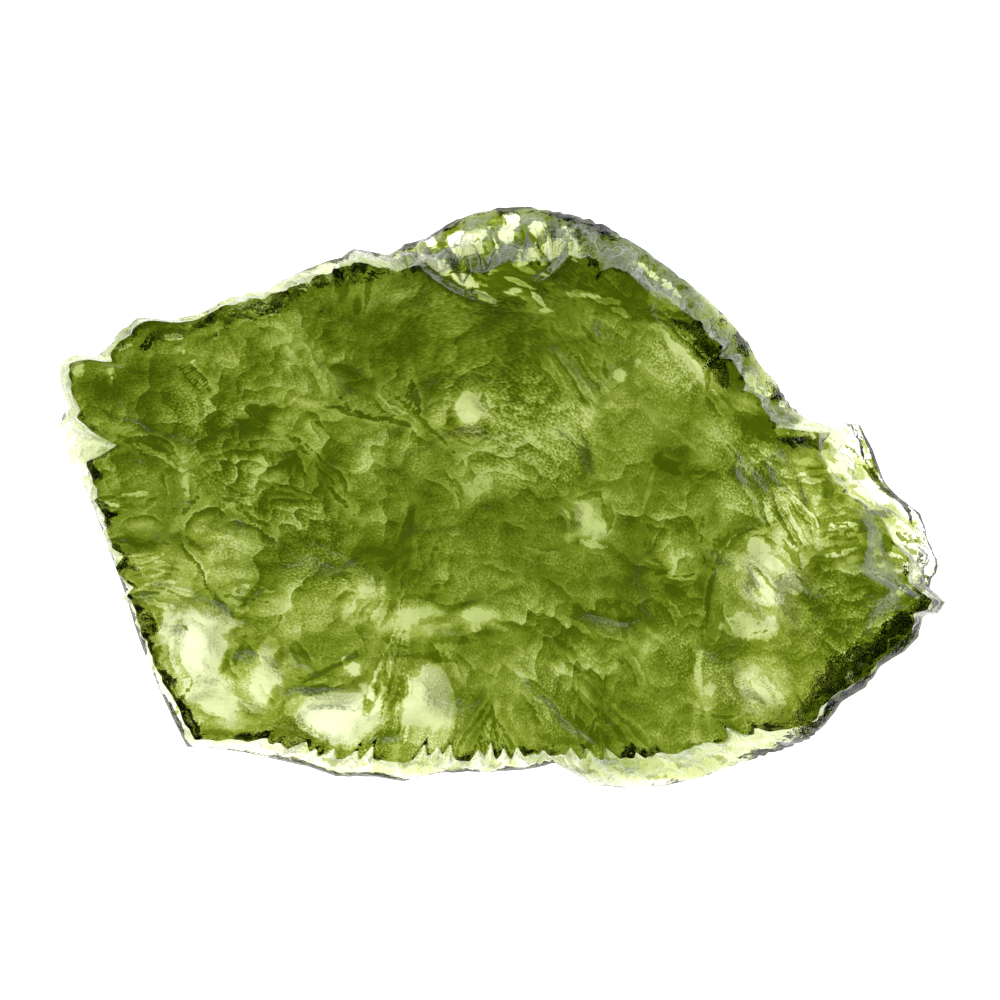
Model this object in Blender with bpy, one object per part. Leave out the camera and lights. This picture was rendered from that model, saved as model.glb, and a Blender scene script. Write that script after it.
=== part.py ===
"""A raw moldavite: one natural slab of green glass, etched all over, lying on a small flat spot.

The stone is a gridded cube whose skin is moved: the cube's top becomes the upper face, its base the
underside, and its four sides the broken wall between them. Sizes below are in millimetres.
"""
import math

import bmesh
import bpy
import numpy as np

NAME = "moldavite"
MM = 0.001

# Driving dimensions of the finished stone.
LENGTH = 34.0
WIDTH = 22.2
THICKNESS = 7.0

# Cells of the cube along its length, across it and up its wall.
COLUMNS = 49
LINES = 33
ROWS = 9

# Outline seen from above, anticlockwise from the left corner, (x, y). It is star-shaped about 0, 0.
RIM = [
    (-16.8, 5.3), (-16.7, 4.4), (-16.5, 3.6), (-16.9, 2.9), (-16.4, 1.6), (-15.7, 0.1),
    (-15.0, -1.6), (-14.4, -3.2), (-13.9, -4.7), (-13.4, -6.0), (-12.8, -7.4), (-12.2, -8.8),
    (-11.9, -9.5), (-10.7, -9.6), (-9.0, -9.9), (-7.3, -10.2), (-6.1, -10.6), (-4.7, -10.6),
    (-3.6, -10.8), (-2.3, -10.5), (-0.4, -10.5), (1.1, -10.4), (2.2, -10.2), (2.8, -10.5),
    (3.6, -11.0), (4.9, -11.1), (6.4, -11.0), (7.8, -10.7), (9.2, -10.1), (10.7, -9.6),
    (11.8, -9.1), (12.4, -8.5), (13.0, -7.7), (13.9, -7.1), (14.5, -6.3), (15.3, -5.8),
    (15.9, -5.2), (16.1, -4.4), (16.7, -4.3), (17.0, -3.9), (16.4, -3.3), (16.8, -2.5),
    (16.4, -1.5), (16.1, -0.5), (15.3, 0.1), (14.7, 0.8), (14.3, 1.9), (13.8, 2.9),
    (12.8, 3.0), (11.8, 3.1), (11.1, 3.6), (10.4, 4.6), (9.7, 5.4), (9.4, 6.0), (8.5, 7.0),
    (8.0, 7.5), (7.2, 8.2), (6.3, 8.9), (5.3, 9.6), (4.2, 10.3), (3.5, 10.6), (2.3, 10.9),
    (1.2, 11.1), (0.0, 11.1), (-1.2, 10.8), (-2.0, 10.5), (-2.7, 10.0), (-3.5, 9.8),
    (-4.1, 9.4), (-4.7, 9.5), (-5.5, 9.6), (-6.4, 9.2), (-7.6, 8.7), (-8.8, 8.1), (-9.6, 7.9),
    (-10.5, 7.6), (-11.5, 7.1), (-12.5, 6.9), (-13.7, 7.0), (-14.4, 6.4), (-15.3, 5.5),
    (-16.2, 5.6),
]

# The wall's section by direction: degrees, how far the upper face's edge lies inside the rim,
# height of the rim, and how far the foot lies inside the rim.
WALLS = [
    (-180, 0.8, 0.8, 0.3), (-168, 0.5, 0.8, 0.3), (-156, 0.55, 0.7, 0.3), (-144, 0.7, 0.7, 0.3),
    (-138, 0.95, 0.7, 0.3), (-126, 0.8, 0.8, 0.3), (-114, 0.95, 0.8, 0.3), (-105, 1.1, 0.8, 0.3),
    (-96, 0.8, 0.8, 0.3), (-78, 0.7, 0.9, 0.3), (-70, 1.5, 1.0, 0.3), (-54, 1.7, 1.1, 0.3),
    (-42, 1.35, 2.1, 0.8), (-36, 0.7, 2.8, 1.5), (-24, 0.45, 3.0, 1.8), (-16, 0.55, 2.8, 1.7),
    (-12, 1.0, 2.1, 1.4), (-6, 1.6, 1.8, 0.9), (0, 2.0, 1.8, 0.7), (8, 2.2, 1.6, 0.6),
    (12, 2.0, 1.6, 0.7), (16, 1.3, 1.9, 0.7), (24, 1.1, 2.2, 0.6), (40, 1.1, 2.4, 0.5),
    (60, 1.3, 2.5, 0.5), (72, 1.7, 2.7, 0.5), (84, 2.3, 2.8, 0.5), (94, 2.6, 2.7, 0.4),
    (102, 1.8, 2.6, 0.4), (108, 1.2, 2.2, 0.4), (120, 0.9, 2.0, 0.4), (132, 0.8, 2.0, 0.4),
    (144, 0.7, 1.9, 0.4), (154, 0.7, 1.8, 0.3), (162, 1.0, 1.4, 0.3), (168, 1.1, 1.0, 0.3),
    (174, 1.2, 0.8, 0.3),
]

# Chips out of the upper face's edge: direction in degrees, half width in degrees, depth.
CHIPS = [(171.8, 3.6, 1.6), (-171.5, 2.5, 0.4), (99, 4.0, 0.5), (66, 3.0, 0.3), (33, 3.0, 0.4)]

# Height of the upper face and of the underside at places on the stone, (x, y, z).
UPPER_LEVELS = [
    (-15.1, 3.8, 5.8), (-14.4, -1.8, 5.4), (-12.7, -5.6, 4.6), (-11.3, -8.6, 4.3),
    (-7.6, -9.2, 4.2), (-3.0, -9.2, 4.4), (0.7, -9.2, 4.9), (5.3, -9.2, 5.2), (9.8, -8.2, 4.9),
    (11.9, -7.9, 4.5), (-0.9, 2.2, 5.6), (0.6, -1.2, 6.1), (1.9, 5.7, 7.2), (-3.8, 5.9, 6.9),
    (-9.5, 5.7, 6.2), (-13.2, 5.9, 5.9), (-6.4, 8.5, 6.5), (-7.6, 0.1, 6.2), (-7.6, -5.2, 5.5),
    (-1.9, -5.2, 5.7), (3.8, -5.2, 6.2), (7.3, -3.4, 6.1), (0.7, 8.2, 6.4), (3.8, 8.5, 6.5),
    (-1.9, 8.4, 6.2), (8.3, 4.6, 5.9), (6.8, 0.8, 6.3), (9.8, 3.5, 5.4), (12.4, 0.8, 4.6),
    (13.2, -1.5, 4.5), (14.9, -1.6, 3.6), (13.6, -3.7, 5.0), (15.1, -5.2, 4.3), (15.6, -3.7, 4.0),
    (11.3, -2.2, 4.9), (3.6, 2.2, 6.0),
]
UNDER_LEVELS = [
    (0.0, -0.6, 0.2), (-3.0, -0.3, 0.3), (1.5, 0.2, 0.6), (0.0, -2.6, 0.4), (-7.6, -2.2, 0.6),
    (-0.7, 2.6, 1.0), (-3.6, 2.4, 0.9), (-7.6, 3.8, 0.4), (-13.2, 3.8, 0.3), (-14.0, 0.0, 0.3),
    (-10.5, 0.6, 0.3), (-13.2, -3.3, 1.2), (-11.3, -5.4, 2.0), (-11.0, -7.2, 1.8), (-9.3, -5.6, 1.2),
    (-9.9, -9.0, 0.4), (-6.2, -8.1, 1.9), (-6.1, -5.5, 0.6), (-3.6, -4.9, 0.9), (-2.6, -7.5, 1.6),
    (0.7, -7.5, 0.6), (3.8, -7.5, 0.3), (6.4, -7.0, 0.3), (5.3, -3.0, 0.3), (7.6, -2.6, 0.5),
    (10.2, -3.4, 1.8), (10.3, -6.6, 1.2), (9.0, -9.1, 0.4), (13.0, -4.9, 0.3), (12.9, -2.9, 0.5),
    (13.9, 0.1, 1.5), (12.4, 1.9, 1.5), (15.3, -1.5, 1.5), (9.8, 3.8, 0.8), (6.2, 0.7, 0.3),
    (7.5, 6.5, 0.6), (3.8, 8.4, 0.5), (1.5, 10.1, 2.4), (-1.5, 9.5, 2.4), (0.0, 7.8, 2.0),
    (0.0, 5.9, 0.5), (-4.5, 6.6, 0.2), (-9.5, 6.8, 0.4),
]

# How far each level reaches, in square millimetres, and how fast it gives way to the next.
UPPER_BLEND = 0.4
UNDER_BLEND = 2.0
LEVEL_POWER = 1.7

# Hollows etched in each face: x, y, half length, half width, turn in degrees, depth.
UPPER_HOLLOWS = [
    (9.7, -3.2, 2.1, 2.5, 20, 0.6), (-10.6, -0.9, 1.9, 1.3, -20, 0.4), (-8.9, -6.8, 0.9, 1.5, 0, 0.4),
    (-5.9, -8.1, 2.0, 1.1, 8, 0.45), (-12.1, -2.2, 2.1, 0.9, -15, 0.35), (-11.3, -5.6, 1.7, 2.3, 20, 0.35),
    (7.3, 5.3, 0.8, 1.7, 40, 0.6), (-1.5, 8.2, 0.5, 1.7, 62, 0.6), (-1.2, 3.1, 1.7, 1.5, -30, 0.5),
    (3.4, -0.7, 1.4, 1.7, 30, 0.5), (11.3, 1.2, 1.4, 1.1, -30, 0.5), (13.0, 1.8, 1.1, 1.3, -30, 0.6),
    (14.5, 0.8, 0.9, 1.5, -20, 0.5), (13.6, 0.1, 1.5, 1.1, -30, 0.5), (-0.8, 9.5, 1.4, 1.1, 0, 0.8),
    (1.1, 9.9, 1.0, 1.1, 10, 0.7), (2.2, 9.3, 0.5, 1.7, -40, 0.7), (5.8, 8.2, 1.5, 0.6, -40, 0.4),
    (-2.7, -6.0, 1.9, 1.4, 0, 0.45), (-7.6, 3.5, 2.6, 1.9, -20, 0.4), (-4.5, 0.8, 2.3, 1.7, 30, 0.5),
    (2.2, 3.8, 2.9, 1.2, -55, 0.5), (6.0, -2.2, 1.4, 2.3, 10, 0.25), (3.8, -6.0, 2.3, 1.7, -20, 0.45),
    (-1.7, -2.0, 2.0, 1.6, 0, 0.4), (-13.2, 2.3, 2.3, 0.5, -20, 0.35),
]
UNDER_HOLLOWS = [
    (-11.3, -5.6, 2.5, 3.1, 20, 0.25), (-5.9, -8.3, 2.6, 1.6, 10, 0.3),
    (-10.2, -1.7, 2.5, 1.8, 20, 0.25), (-6.1, -3.3, 2.8, 2.0, -40, 0.25), (10.4, -3.3, 2.2, 2.6, 30, 0.35),
    (11.3, 0.1, 1.7, 2.4, 35, 0.3), (9.2, -7.1, 2.5, 1.7, -20, 0.35), (-1.2, 3.6, 2.5, 2.2, -30, 0.25),
    (3.8, -0.9, 2.2, 2.4, 30, 0.25), (4.7, 4.8, 1.7, 1.8, 20, 0.4), (7.2, 5.3, 1.7, 2.8, 40, 0.5),
    (-2.7, -6.4, 2.9, 2.0, 0, 0.3), (1.5, -6.0, 2.3, 2.0, -50, 0.3), (-3.0, -8.1, 2.5, 1.6, 0, 0.3),
    (-8.7, 3.8, 3.6, 2.3, -20, 0.35), (3.2, 2.8, 2.2, 2.6, -30, 0.2),
]

# The worn flat spot that the stone lies on: centre, half length, half width, and the gap that the
# rest of the underside keeps above it.
SPOT = (-1.15, -0.3)
SPOT_SIZE = (2.1, 1.55)
SPOT_PRESS = 1.6
SPOT_FLAT = 0.8
SPOT_FADE = 0.7
UNDER_GAP = 0.15

# Etching: sizes of the bowls, how high their ridges stand and how crisp they are, the slow swell
# under them, and the direction in degrees and the stretch that they are drawn out by on the left
# and on the right of the stone. It calms to a share of itself over a short way from the edge.
BOWL_SIZES = (3.2, 1.5)
BOWL_HEIGHTS = (1.1, 0.5)
BOWL_CRISPNESS = 9.0
LOOSENESS = 0.8
STEEPNESS = (0.4, 1.6)
MEAN_BOWL = 0.18
SWELL = 0.25
SWELL_SIZE = 4.5
WARP = 0.5
WARP_SIZE = 2.4
LEFT_DRAW = (-15, 1.35)
RIGHT_DRAW = (-52, 1.6)
DRAW_CHANGE = (-4.0, 4.0)
EDGE_CALM = 1.0
EDGE_SHARE = 0.3
UNDER_RELIEF = 0.4
WALL_RADIUS = 14.0
WALL_BOWL_SIZE = 2.4
WALL_BOWL_STRETCH = 1.4
WALL_BOWL_DEPTH = 0.8
WALL_BOWL_CALM = 0.8
LEAST_THICKNESS = 0.9
LEAST_UPPER_WALL = 0.15
LEAST_LOWER_WALL = 0.25

# How round each face's hollows are at the bottom.
UPPER_SOFTNESS = 1.0
UNDER_SOFTNESS = 2.0

# First numbers of the hash for each face.
UPPER_SALT = 100
UNDER_SALT = 300
WALL_SALT = 73

GLASS_COLOUR = (0.22, 0.32, 0.03, 1.0)
GLASS_ROUGHNESS = 0.2
GLASS_IOR = 1.49
CREASE = 40.0


def ease(t):
    """Smooth step: 0 below 0, 1 above 1, and three t squared less two t cubed between."""
    t = np.clip(t, 0.0, 1.0)
    return t * t * (3.0 - 2.0 * t)


def turned(x, y, degrees, stretch=1.0):
    """Coordinates in a frame turned by an angle, with lengths along its first axis shrunk by stretch."""
    c, s = math.cos(math.radians(degrees)), math.sin(math.radians(degrees))
    return (c * x + s * y) / stretch, c * y - s * x


def scatter(i, j, salt):
    """Three fixed numbers from 0 to 1 for each square of a grid, from an integer hash."""
    m = (i.astype(np.int64) * 73856093) ^ (j.astype(np.int64) * 19349663) ^ (salt * 83492791)
    m = m & 0xFFFFFFFF
    numbers = []
    for _ in range(3):
        m = ((m ^ (m >> 15)) * 0x2C1B3C6D) & 0xFFFFFFFF
        m = ((m ^ (m >> 12)) * 0x297A2D39) & 0xFFFFFFFF
        m = m ^ (m >> 15)
        numbers.append(m / 2.0 ** 32)
    return numbers


def waves(x, y, size, salt):
    """Smooth noise from -1 to 1: the hashed corners of each square, blended across it."""
    u, v = x / size, y / size
    i, j = np.floor(u), np.floor(v)
    f, g = ease(u - i), ease(v - j)
    near = scatter(i, j, salt)[0] * (1 - f) + scatter(i + 1, j, salt)[0] * f
    far = scatter(i, j + 1, salt)[0] * (1 - f) + scatter(i + 1, j + 1, salt)[0] * f
    return (near * (1 - g) + far * g) * 2.0 - 1.0


def bowls(x, y, size, salt):
    """Etched bowls: squared distance to the nearest of one loose point per square, times that
    bowl's own steepness, blended softly where two bowls meet in a ridge."""
    u, v = x / size, y / size
    i, j = np.floor(u), np.floor(v)
    weights = np.zeros_like(u)
    height = np.zeros_like(u)
    for di in (-1, 0, 1):
        for dj in (-1, 0, 1):
            a, b, c = scatter(i + di, j + dj, salt)
            du = i + di + (1 - LOOSENESS) / 2 + LOOSENESS * a - u
            dv = j + dj + (1 - LOOSENESS) / 2 + LOOSENESS * b - v
            d = du ** 2 + dv ** 2
            w = np.exp(-BOWL_CRISPNESS * d)
            weights += w
            height += w * d * (STEEPNESS[0] + (STEEPNESS[1] - STEEPNESS[0]) * c)
    return height / np.maximum(weights, 1e-12)


def etched(x, y, salt):
    """Relief of an etched face: two sizes of bowls, drawn out one way on the left of the stone and
    another way on its right, on warped coordinates, over a slow swell."""
    wx = x + WARP * waves(x, y, WARP_SIZE, salt + 1)
    wy = y + WARP * waves(x, y, WARP_SIZE, salt + 2)
    left = turned(wx, wy, *LEFT_DRAW)
    right = turned(wx, wy, *RIGHT_DRAW)
    mix = ease((x - DRAW_CHANGE[0]) / (DRAW_CHANGE[1] - DRAW_CHANGE[0]))
    relief = SWELL * waves(x, y, SWELL_SIZE, salt + 20) - MEAN_BOWL * sum(BOWL_HEIGHTS)
    for k, (size, height) in enumerate(zip(BOWL_SIZES, BOWL_HEIGHTS)):
        shape = bowls(*left, size, salt + 10 + k) * (1 - mix) + bowls(*right, size, salt + 10 + k) * mix
        relief = relief + height * shape
    return relief


def levels(table, x, y, blend):
    """Height at a place: the table's heights averaged by closeness to its places."""
    t = np.array(table)
    d = (x[:, None] - t[:, 0]) ** 2 + (y[:, None] - t[:, 1]) ** 2
    w = 1.0 / (d + blend) ** LEVEL_POWER
    return (w * t[:, 2]).sum(axis=1) / w.sum(axis=1)


def hollowed(table, x, y, softness):
    """Sum of elliptic hollows, each its depth times one less its squared radius, to a power."""
    depth = np.zeros_like(x)
    for cx, cy, half_length, half_width, turn, deep in table:
        u, v = turned(x - cx, y - cy, turn)
        r = (u / half_length) ** 2 + (v / half_width) ** 2
        depth += deep * np.clip(1.0 - r, 0.0, None) ** softness
    return depth


def reach(outline, angle):
    """Distance from 0, 0 to a star-shaped outline in each direction."""
    p = np.array(outline)
    p = p[np.argsort(np.arctan2(p[:, 1], p[:, 0]))]
    turn = np.arctan2(p[:, 1], p[:, 0])
    p = np.vstack([p[-1:], p, p[:1]])
    turn = np.concatenate([[turn[-1] - 2 * np.pi], turn, [turn[0] + 2 * np.pi]])
    k = np.clip(np.searchsorted(turn, angle, side="right") - 1, 0, len(turn) - 2)
    start, run = p[k], p[k + 1] - p[k]
    across = np.cos(angle) * run[:, 1] - np.sin(angle) * run[:, 0]
    return (start[:, 0] * run[:, 1] - start[:, 1] * run[:, 0]) / across


def wall_section(angle):
    """Distances of rim, upper edge and foot, and the rim's height, in each direction."""
    degrees = np.degrees(angle)
    table = np.array(sorted(WALLS))
    inset, rim_height, foot = (np.interp(degrees, table[:, 0], table[:, k], period=360) for k in (1, 2, 3))
    for direction, half_width, depth in CHIPS:
        off = np.abs((degrees - direction + 180) % 360 - 180)
        inset = inset + depth * np.clip(1.0 - off / half_width, 0.0, None)
    rim = reach(RIM, angle)
    return rim, rim - inset, rim - foot, rim_height


def disc(a, b):
    """A square's points on a round disc: radius from 0 to 1, and direction on the stone's oval."""
    u, v = a * np.sqrt(1 - b * b / 2), b * np.sqrt(1 - a * a / 2)
    return np.hypot(u, v), np.arctan2(v * WIDTH, u * LENGTH)


def placed(radius, edge, angle):
    """Places on a face, and the share of the etching there, which calms near the face's edge."""
    calm = EDGE_SHARE + (1 - EDGE_SHARE) * ease((1 - radius) * edge / EDGE_CALM)
    return radius * edge * np.cos(angle), radius * edge * np.sin(angle), calm


def upper_face(a, b):
    """Upper face: its levels, less its hollows, plus the etching."""
    radius, angle = disc(a, b)
    _, edge, _, _ = wall_section(angle)
    x, y, calm = placed(radius, edge, angle)
    z = levels(UPPER_LEVELS, x, y, UPPER_BLEND) + calm * etched(x, y, UPPER_SALT)
    z = z - hollowed(UPPER_HOLLOWS, x, y, UPPER_SOFTNESS)
    return np.column_stack([x, y, z])


def under_face(a, b):
    """Underside: its levels, plus hollows going up, less the etching, pressed flat at the spot."""
    radius, angle = disc(a, b)
    _, _, edge, _ = wall_section(angle)
    x, y, calm = placed(radius, edge, angle)
    relief = UNDER_RELIEF * calm * etched(x, y, UNDER_SALT)
    z = levels(UNDER_LEVELS, x, y, UNDER_BLEND) + hollowed(UNDER_HOLLOWS, x, y, UNDER_SOFTNESS) - relief
    z = np.minimum(z, levels(UPPER_LEVELS, x, y, UPPER_BLEND) - LEAST_THICKNESS)
    off = np.hypot((x - SPOT[0]) / SPOT_SIZE[0], (y - SPOT[1]) / SPOT_SIZE[1])
    press = 1.0 - ease((off - SPOT_FLAT) / SPOT_FADE)
    z = np.maximum(z - SPOT_PRESS * press, UNDER_GAP * (1.0 - press))
    return np.column_stack([x, y, z])


def wall_face(a, b, down):
    """Wall: straight from the upper edge out to the rim and in to the foot, by length along that
    section, with bowls that push it in between its three edges."""
    top, foot = upper_face(a, b), under_face(a, b)
    _, angle = disc(a, b)
    reach_out, _, _, rim_height = wall_section(angle)
    rim_height = np.clip(rim_height, foot[:, 2] + LEAST_LOWER_WALL, top[:, 2] - LEAST_UPPER_WALL)
    rim = np.column_stack([reach_out * np.cos(angle), reach_out * np.sin(angle), rim_height])
    upper_run = np.linalg.norm(rim - top, axis=1)
    lower_run = np.linalg.norm(foot - rim, axis=1)
    run = upper_run + lower_run
    knee = upper_run / run
    along_upper = np.clip(down / knee, 0, 1)[:, None]
    along_lower = np.clip((down - knee) / (1 - knee), 0, 1)[:, None]
    p = top + (rim - top) * along_upper + (foot - rim) * along_lower
    to_edge = run * np.minimum(np.minimum(down, 1 - down), np.abs(down - knee))
    dents = bowls(angle * WALL_RADIUS, p[:, 2] * WALL_BOWL_STRETCH, WALL_BOWL_SIZE, WALL_SALT)
    push = WALL_BOWL_DEPTH * dents * ease(to_edge / WALL_BOWL_CALM)
    p[:, 0] -= push * np.cos(angle)
    p[:, 1] -= push * np.sin(angle)
    return p


def fitted(points):
    """Points stretched to the driving dimensions, centred over 0, 0 and standing on z = 0."""
    low, high = points.min(axis=0), points.max(axis=0)
    size = np.array([LENGTH, WIDTH, THICKNESS])
    base = np.array([(low[0] + high[0]) / 2, (low[1] + high[1]) / 2, low[2]])
    return (points - base) * size / (high - low)


def gridded_cube():
    """A cube from -1 to 1, cut into columns, lines and rows on all its sides."""
    body = bmesh.new()
    bmesh.ops.create_cube(body, size=2.0)
    for axis, cells in enumerate((COLUMNS, LINES, ROWS)):
        long_edges = [e for e in body.edges if abs(e.verts[0].co[axis] - e.verts[1].co[axis]) > 1.0]
        bmesh.ops.subdivide_edges(body, edges=long_edges, cuts=cells - 1, use_grid_fill=True)
    mesh = bpy.data.meshes.new(NAME)
    body.to_mesh(mesh)
    body.free()
    return mesh


def glass():
    """Clear green natural glass."""
    material = bpy.data.materials.new("green_glass")
    material.use_nodes = True
    shader = material.node_tree.nodes["Principled BSDF"]
    shader.inputs["Base Color"].default_value = GLASS_COLOUR
    shader.inputs["Metallic"].default_value = 0.0
    shader.inputs["Roughness"].default_value = GLASS_ROUGHNESS
    shader.inputs["IOR"].default_value = GLASS_IOR
    shader.inputs["Transmission Weight"].default_value = 1.0
    return material


def moldavite():
    """The stone: every point of the gridded cube moved to the face that it belongs to."""
    mesh = gridded_cube()
    cube = np.empty(len(mesh.vertices) * 3)
    mesh.vertices.foreach_get("co", cube)
    a, b, c = cube.reshape(-1, 3).T
    upper, under = c > 0.999, c < -0.999
    side = ~(upper | under)
    points = np.empty((len(c), 3))
    points[upper] = upper_face(a[upper], b[upper])
    points[under] = under_face(a[under], b[under])
    points[side] = wall_face(a[side], b[side], (1.0 - c[side]) / 2.0)
    mesh.vertices.foreach_set("co", (fitted(points) * MM).ravel())
    mesh.update()
    mesh.shade_smooth()
    mesh.set_sharp_from_angle(angle=math.radians(CREASE))
    mesh.materials.append(glass())
    return bpy.data.objects.new(NAME, mesh)


def main():
    for old in list(bpy.data.objects):
        bpy.data.objects.remove(old, do_unlink=True)
    collection = bpy.data.collections.new("raw_moldavite")
    bpy.context.scene.collection.children.link(collection)
    collection.objects.link(moldavite())


main()
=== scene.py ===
"""A raw moldavite on a light table: the visible stone, its green glass, and the stage that it lies on.

The stone's skin is two grids, the upper face and the underside, joined by a band of rows, the broken
wall. Sizes in the tables below are in millimetres, seen from above with the stone's middle at 0, 0.
"""

import math

import bpy
import numpy as np
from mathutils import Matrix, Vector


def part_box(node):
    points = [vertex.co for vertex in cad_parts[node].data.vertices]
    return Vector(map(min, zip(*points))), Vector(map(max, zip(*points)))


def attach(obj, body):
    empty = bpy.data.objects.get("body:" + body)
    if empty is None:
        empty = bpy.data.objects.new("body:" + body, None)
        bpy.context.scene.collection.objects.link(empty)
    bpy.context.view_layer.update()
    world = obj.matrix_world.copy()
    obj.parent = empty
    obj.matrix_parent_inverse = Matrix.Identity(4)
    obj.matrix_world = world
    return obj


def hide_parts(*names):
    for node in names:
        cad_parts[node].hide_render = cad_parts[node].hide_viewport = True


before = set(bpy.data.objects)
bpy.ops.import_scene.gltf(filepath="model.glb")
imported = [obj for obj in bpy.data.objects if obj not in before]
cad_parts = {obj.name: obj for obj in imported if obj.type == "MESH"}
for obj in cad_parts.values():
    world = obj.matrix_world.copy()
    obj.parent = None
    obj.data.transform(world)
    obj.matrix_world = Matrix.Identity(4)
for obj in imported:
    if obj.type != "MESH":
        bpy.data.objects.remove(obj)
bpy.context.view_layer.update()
LOW_CORNER, HIGH_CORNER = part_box("moldavite")

bl_info = {
    "name": "Raw moldavite",
    "version": (1, 0, 0),
    "blender": (4, 5, 0),
    "location": "3D View > Sidebar > Moldavite",
    "description": "Makes an etched slab of green natural glass and its light table",
    "category": "Add Mesh",
}

MM = 0.001
TINY = 1e-12

# Outline seen from above, anticlockwise from the left corner, (x, y). It is star-shaped about 0, 0.
RIM = [
    (-16.8, 5.3), (-16.7, 4.4), (-16.5, 3.6), (-16.9, 2.9), (-16.4, 1.6), (-15.7, 0.1),
    (-15.0, -1.6), (-14.4, -3.2), (-13.9, -4.7), (-13.4, -6.0), (-12.8, -7.4), (-12.2, -8.8),
    (-11.9, -9.5), (-10.7, -9.6), (-9.0, -9.9), (-7.3, -10.2), (-6.1, -10.6), (-4.7, -10.6),
    (-3.6, -10.8), (-2.3, -10.5), (-0.4, -10.5), (1.1, -10.4), (2.2, -10.2), (2.8, -10.5),
    (3.6, -11.0), (4.9, -11.1), (6.4, -11.0), (7.8, -10.7), (9.2, -10.1), (10.7, -9.6),
    (11.8, -9.1), (12.4, -8.5), (13.0, -7.7), (13.9, -7.1), (14.5, -6.3), (15.3, -5.8),
    (15.9, -5.2), (16.1, -4.4), (16.7, -4.3), (17.0, -3.9), (16.4, -3.3), (16.8, -2.5),
    (16.4, -1.5), (16.1, -0.5), (15.3, 0.1), (14.7, 0.8), (14.3, 1.9), (13.8, 2.9),
    (12.8, 3.0), (11.8, 3.1), (11.1, 3.6), (10.4, 4.6), (9.7, 5.4), (9.4, 6.0), (8.5, 7.0),
    (8.0, 7.5), (7.2, 8.2), (6.3, 8.9), (5.3, 9.6), (4.2, 10.3), (3.5, 10.6), (2.3, 10.9),
    (1.2, 11.1), (0.0, 11.1), (-1.2, 10.8), (-2.0, 10.5), (-2.7, 10.0), (-3.5, 9.8),
    (-4.1, 9.4), (-4.7, 9.5), (-5.5, 9.6), (-6.4, 9.2), (-7.6, 8.7), (-8.8, 8.1), (-9.6, 7.9),
    (-10.5, 7.6), (-11.5, 7.1), (-12.5, 6.9), (-13.7, 7.0), (-14.4, 6.4), (-15.3, 5.5),
    (-16.2, 5.6),
]

# The wall's section by direction: degrees, how far the upper face's edge lies inside the rim,
# height of the rim, and how far the foot lies inside the rim.
WALLS = [
    (-180, 0.8, 0.8, 0.3), (-168, 0.5, 0.8, 0.3), (-156, 0.55, 0.7, 0.3), (-144, 0.7, 0.7, 0.3),
    (-138, 0.95, 0.7, 0.3), (-126, 0.8, 0.8, 0.3), (-114, 0.95, 0.8, 0.3), (-105, 1.1, 0.8, 0.3),
    (-96, 0.8, 0.8, 0.3), (-78, 0.7, 0.9, 0.3), (-70, 1.5, 1.0, 0.3), (-54, 1.7, 1.1, 0.3),
    (-42, 1.35, 2.1, 0.8), (-36, 0.7, 2.8, 1.5), (-24, 0.45, 3.0, 1.8), (-16, 0.55, 2.8, 1.7),
    (-12, 1.0, 2.1, 1.4), (-6, 1.6, 1.8, 0.9), (0, 2.0, 1.8, 0.7), (8, 2.2, 1.6, 0.6),
    (12, 2.0, 1.6, 0.7), (16, 1.3, 2.3, 0.7), (24, 1.1, 3.2, 0.6), (40, 1.1, 3.6, 0.5),
    (60, 1.3, 3.7, 0.5), (72, 1.7, 3.7, 0.5), (84, 2.3, 3.4, 0.5), (94, 2.6, 3.2, 0.4),
    (102, 1.8, 2.6, 0.4), (108, 1.2, 2.2, 0.4), (120, 0.9, 2.0, 0.4), (132, 0.8, 2.0, 0.4),
    (144, 0.7, 1.9, 0.4), (154, 0.7, 1.8, 0.3), (162, 1.0, 1.4, 0.3), (168, 1.1, 1.0, 0.3),
    (174, 1.2, 0.8, 0.3),
]

# Chips out of the upper face's edge: direction in degrees, half width in degrees, depth.
CHIPS = [
    (171.8, 2.8, 1.6), (-171.5, 1.5, 0.4), (-166.5, 1.0, 0.35), (160.5, 1.2, 0.4),
    (99, 2.5, 0.5), (66, 2.0, 0.3), (33, 1.5, 0.4), (24, 1.2, 0.3),
]

# Teeth along the upper face's near edge: x, half width, how far each bites in.
TEETH = [
    (-8.9, 0.25, 0.3), (-8.3, 0.2, 0.3), (-7.45, 0.4, 0.5), (-6.9, 0.2, 0.3), (-6.35, 0.3, 0.45),
    (-5.5, 0.3, 0.75), (-4.95, 0.25, 0.65), (-2.9, 0.25, 0.5), (-2.3, 0.25, 0.4), (-1.85, 0.2, 0.5),
    (-0.75, 0.3, 0.45), (-0.3, 0.2, 0.7), (0.2, 0.2, 0.4), (0.75, 0.25, 0.5), (1.7, 0.2, 0.3),
    (2.8, 0.3, 0.4), (3.4, 0.3, 0.5), (4.2, 0.3, 0.5), (5.25, 0.2, 0.3), (8.85, 0.3, 0.5),
    (9.8, 0.3, 0.3),
]

# More about the upper face's edge. Here and below, waves are pairs of height and size.
TOOTHED_EDGE = (-150.0, -40.0)  # directions between which there are teeth, in degrees
CHIPS_FROM = 0.7  # share of the radius from which chips pull the grid in
EDGE_JAGS = ((0.10, 0.5), (0.05, 0.2))  # waves of the edge
LEAST_INSET = 0.12  # how far inside the rim the edge stays

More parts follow.
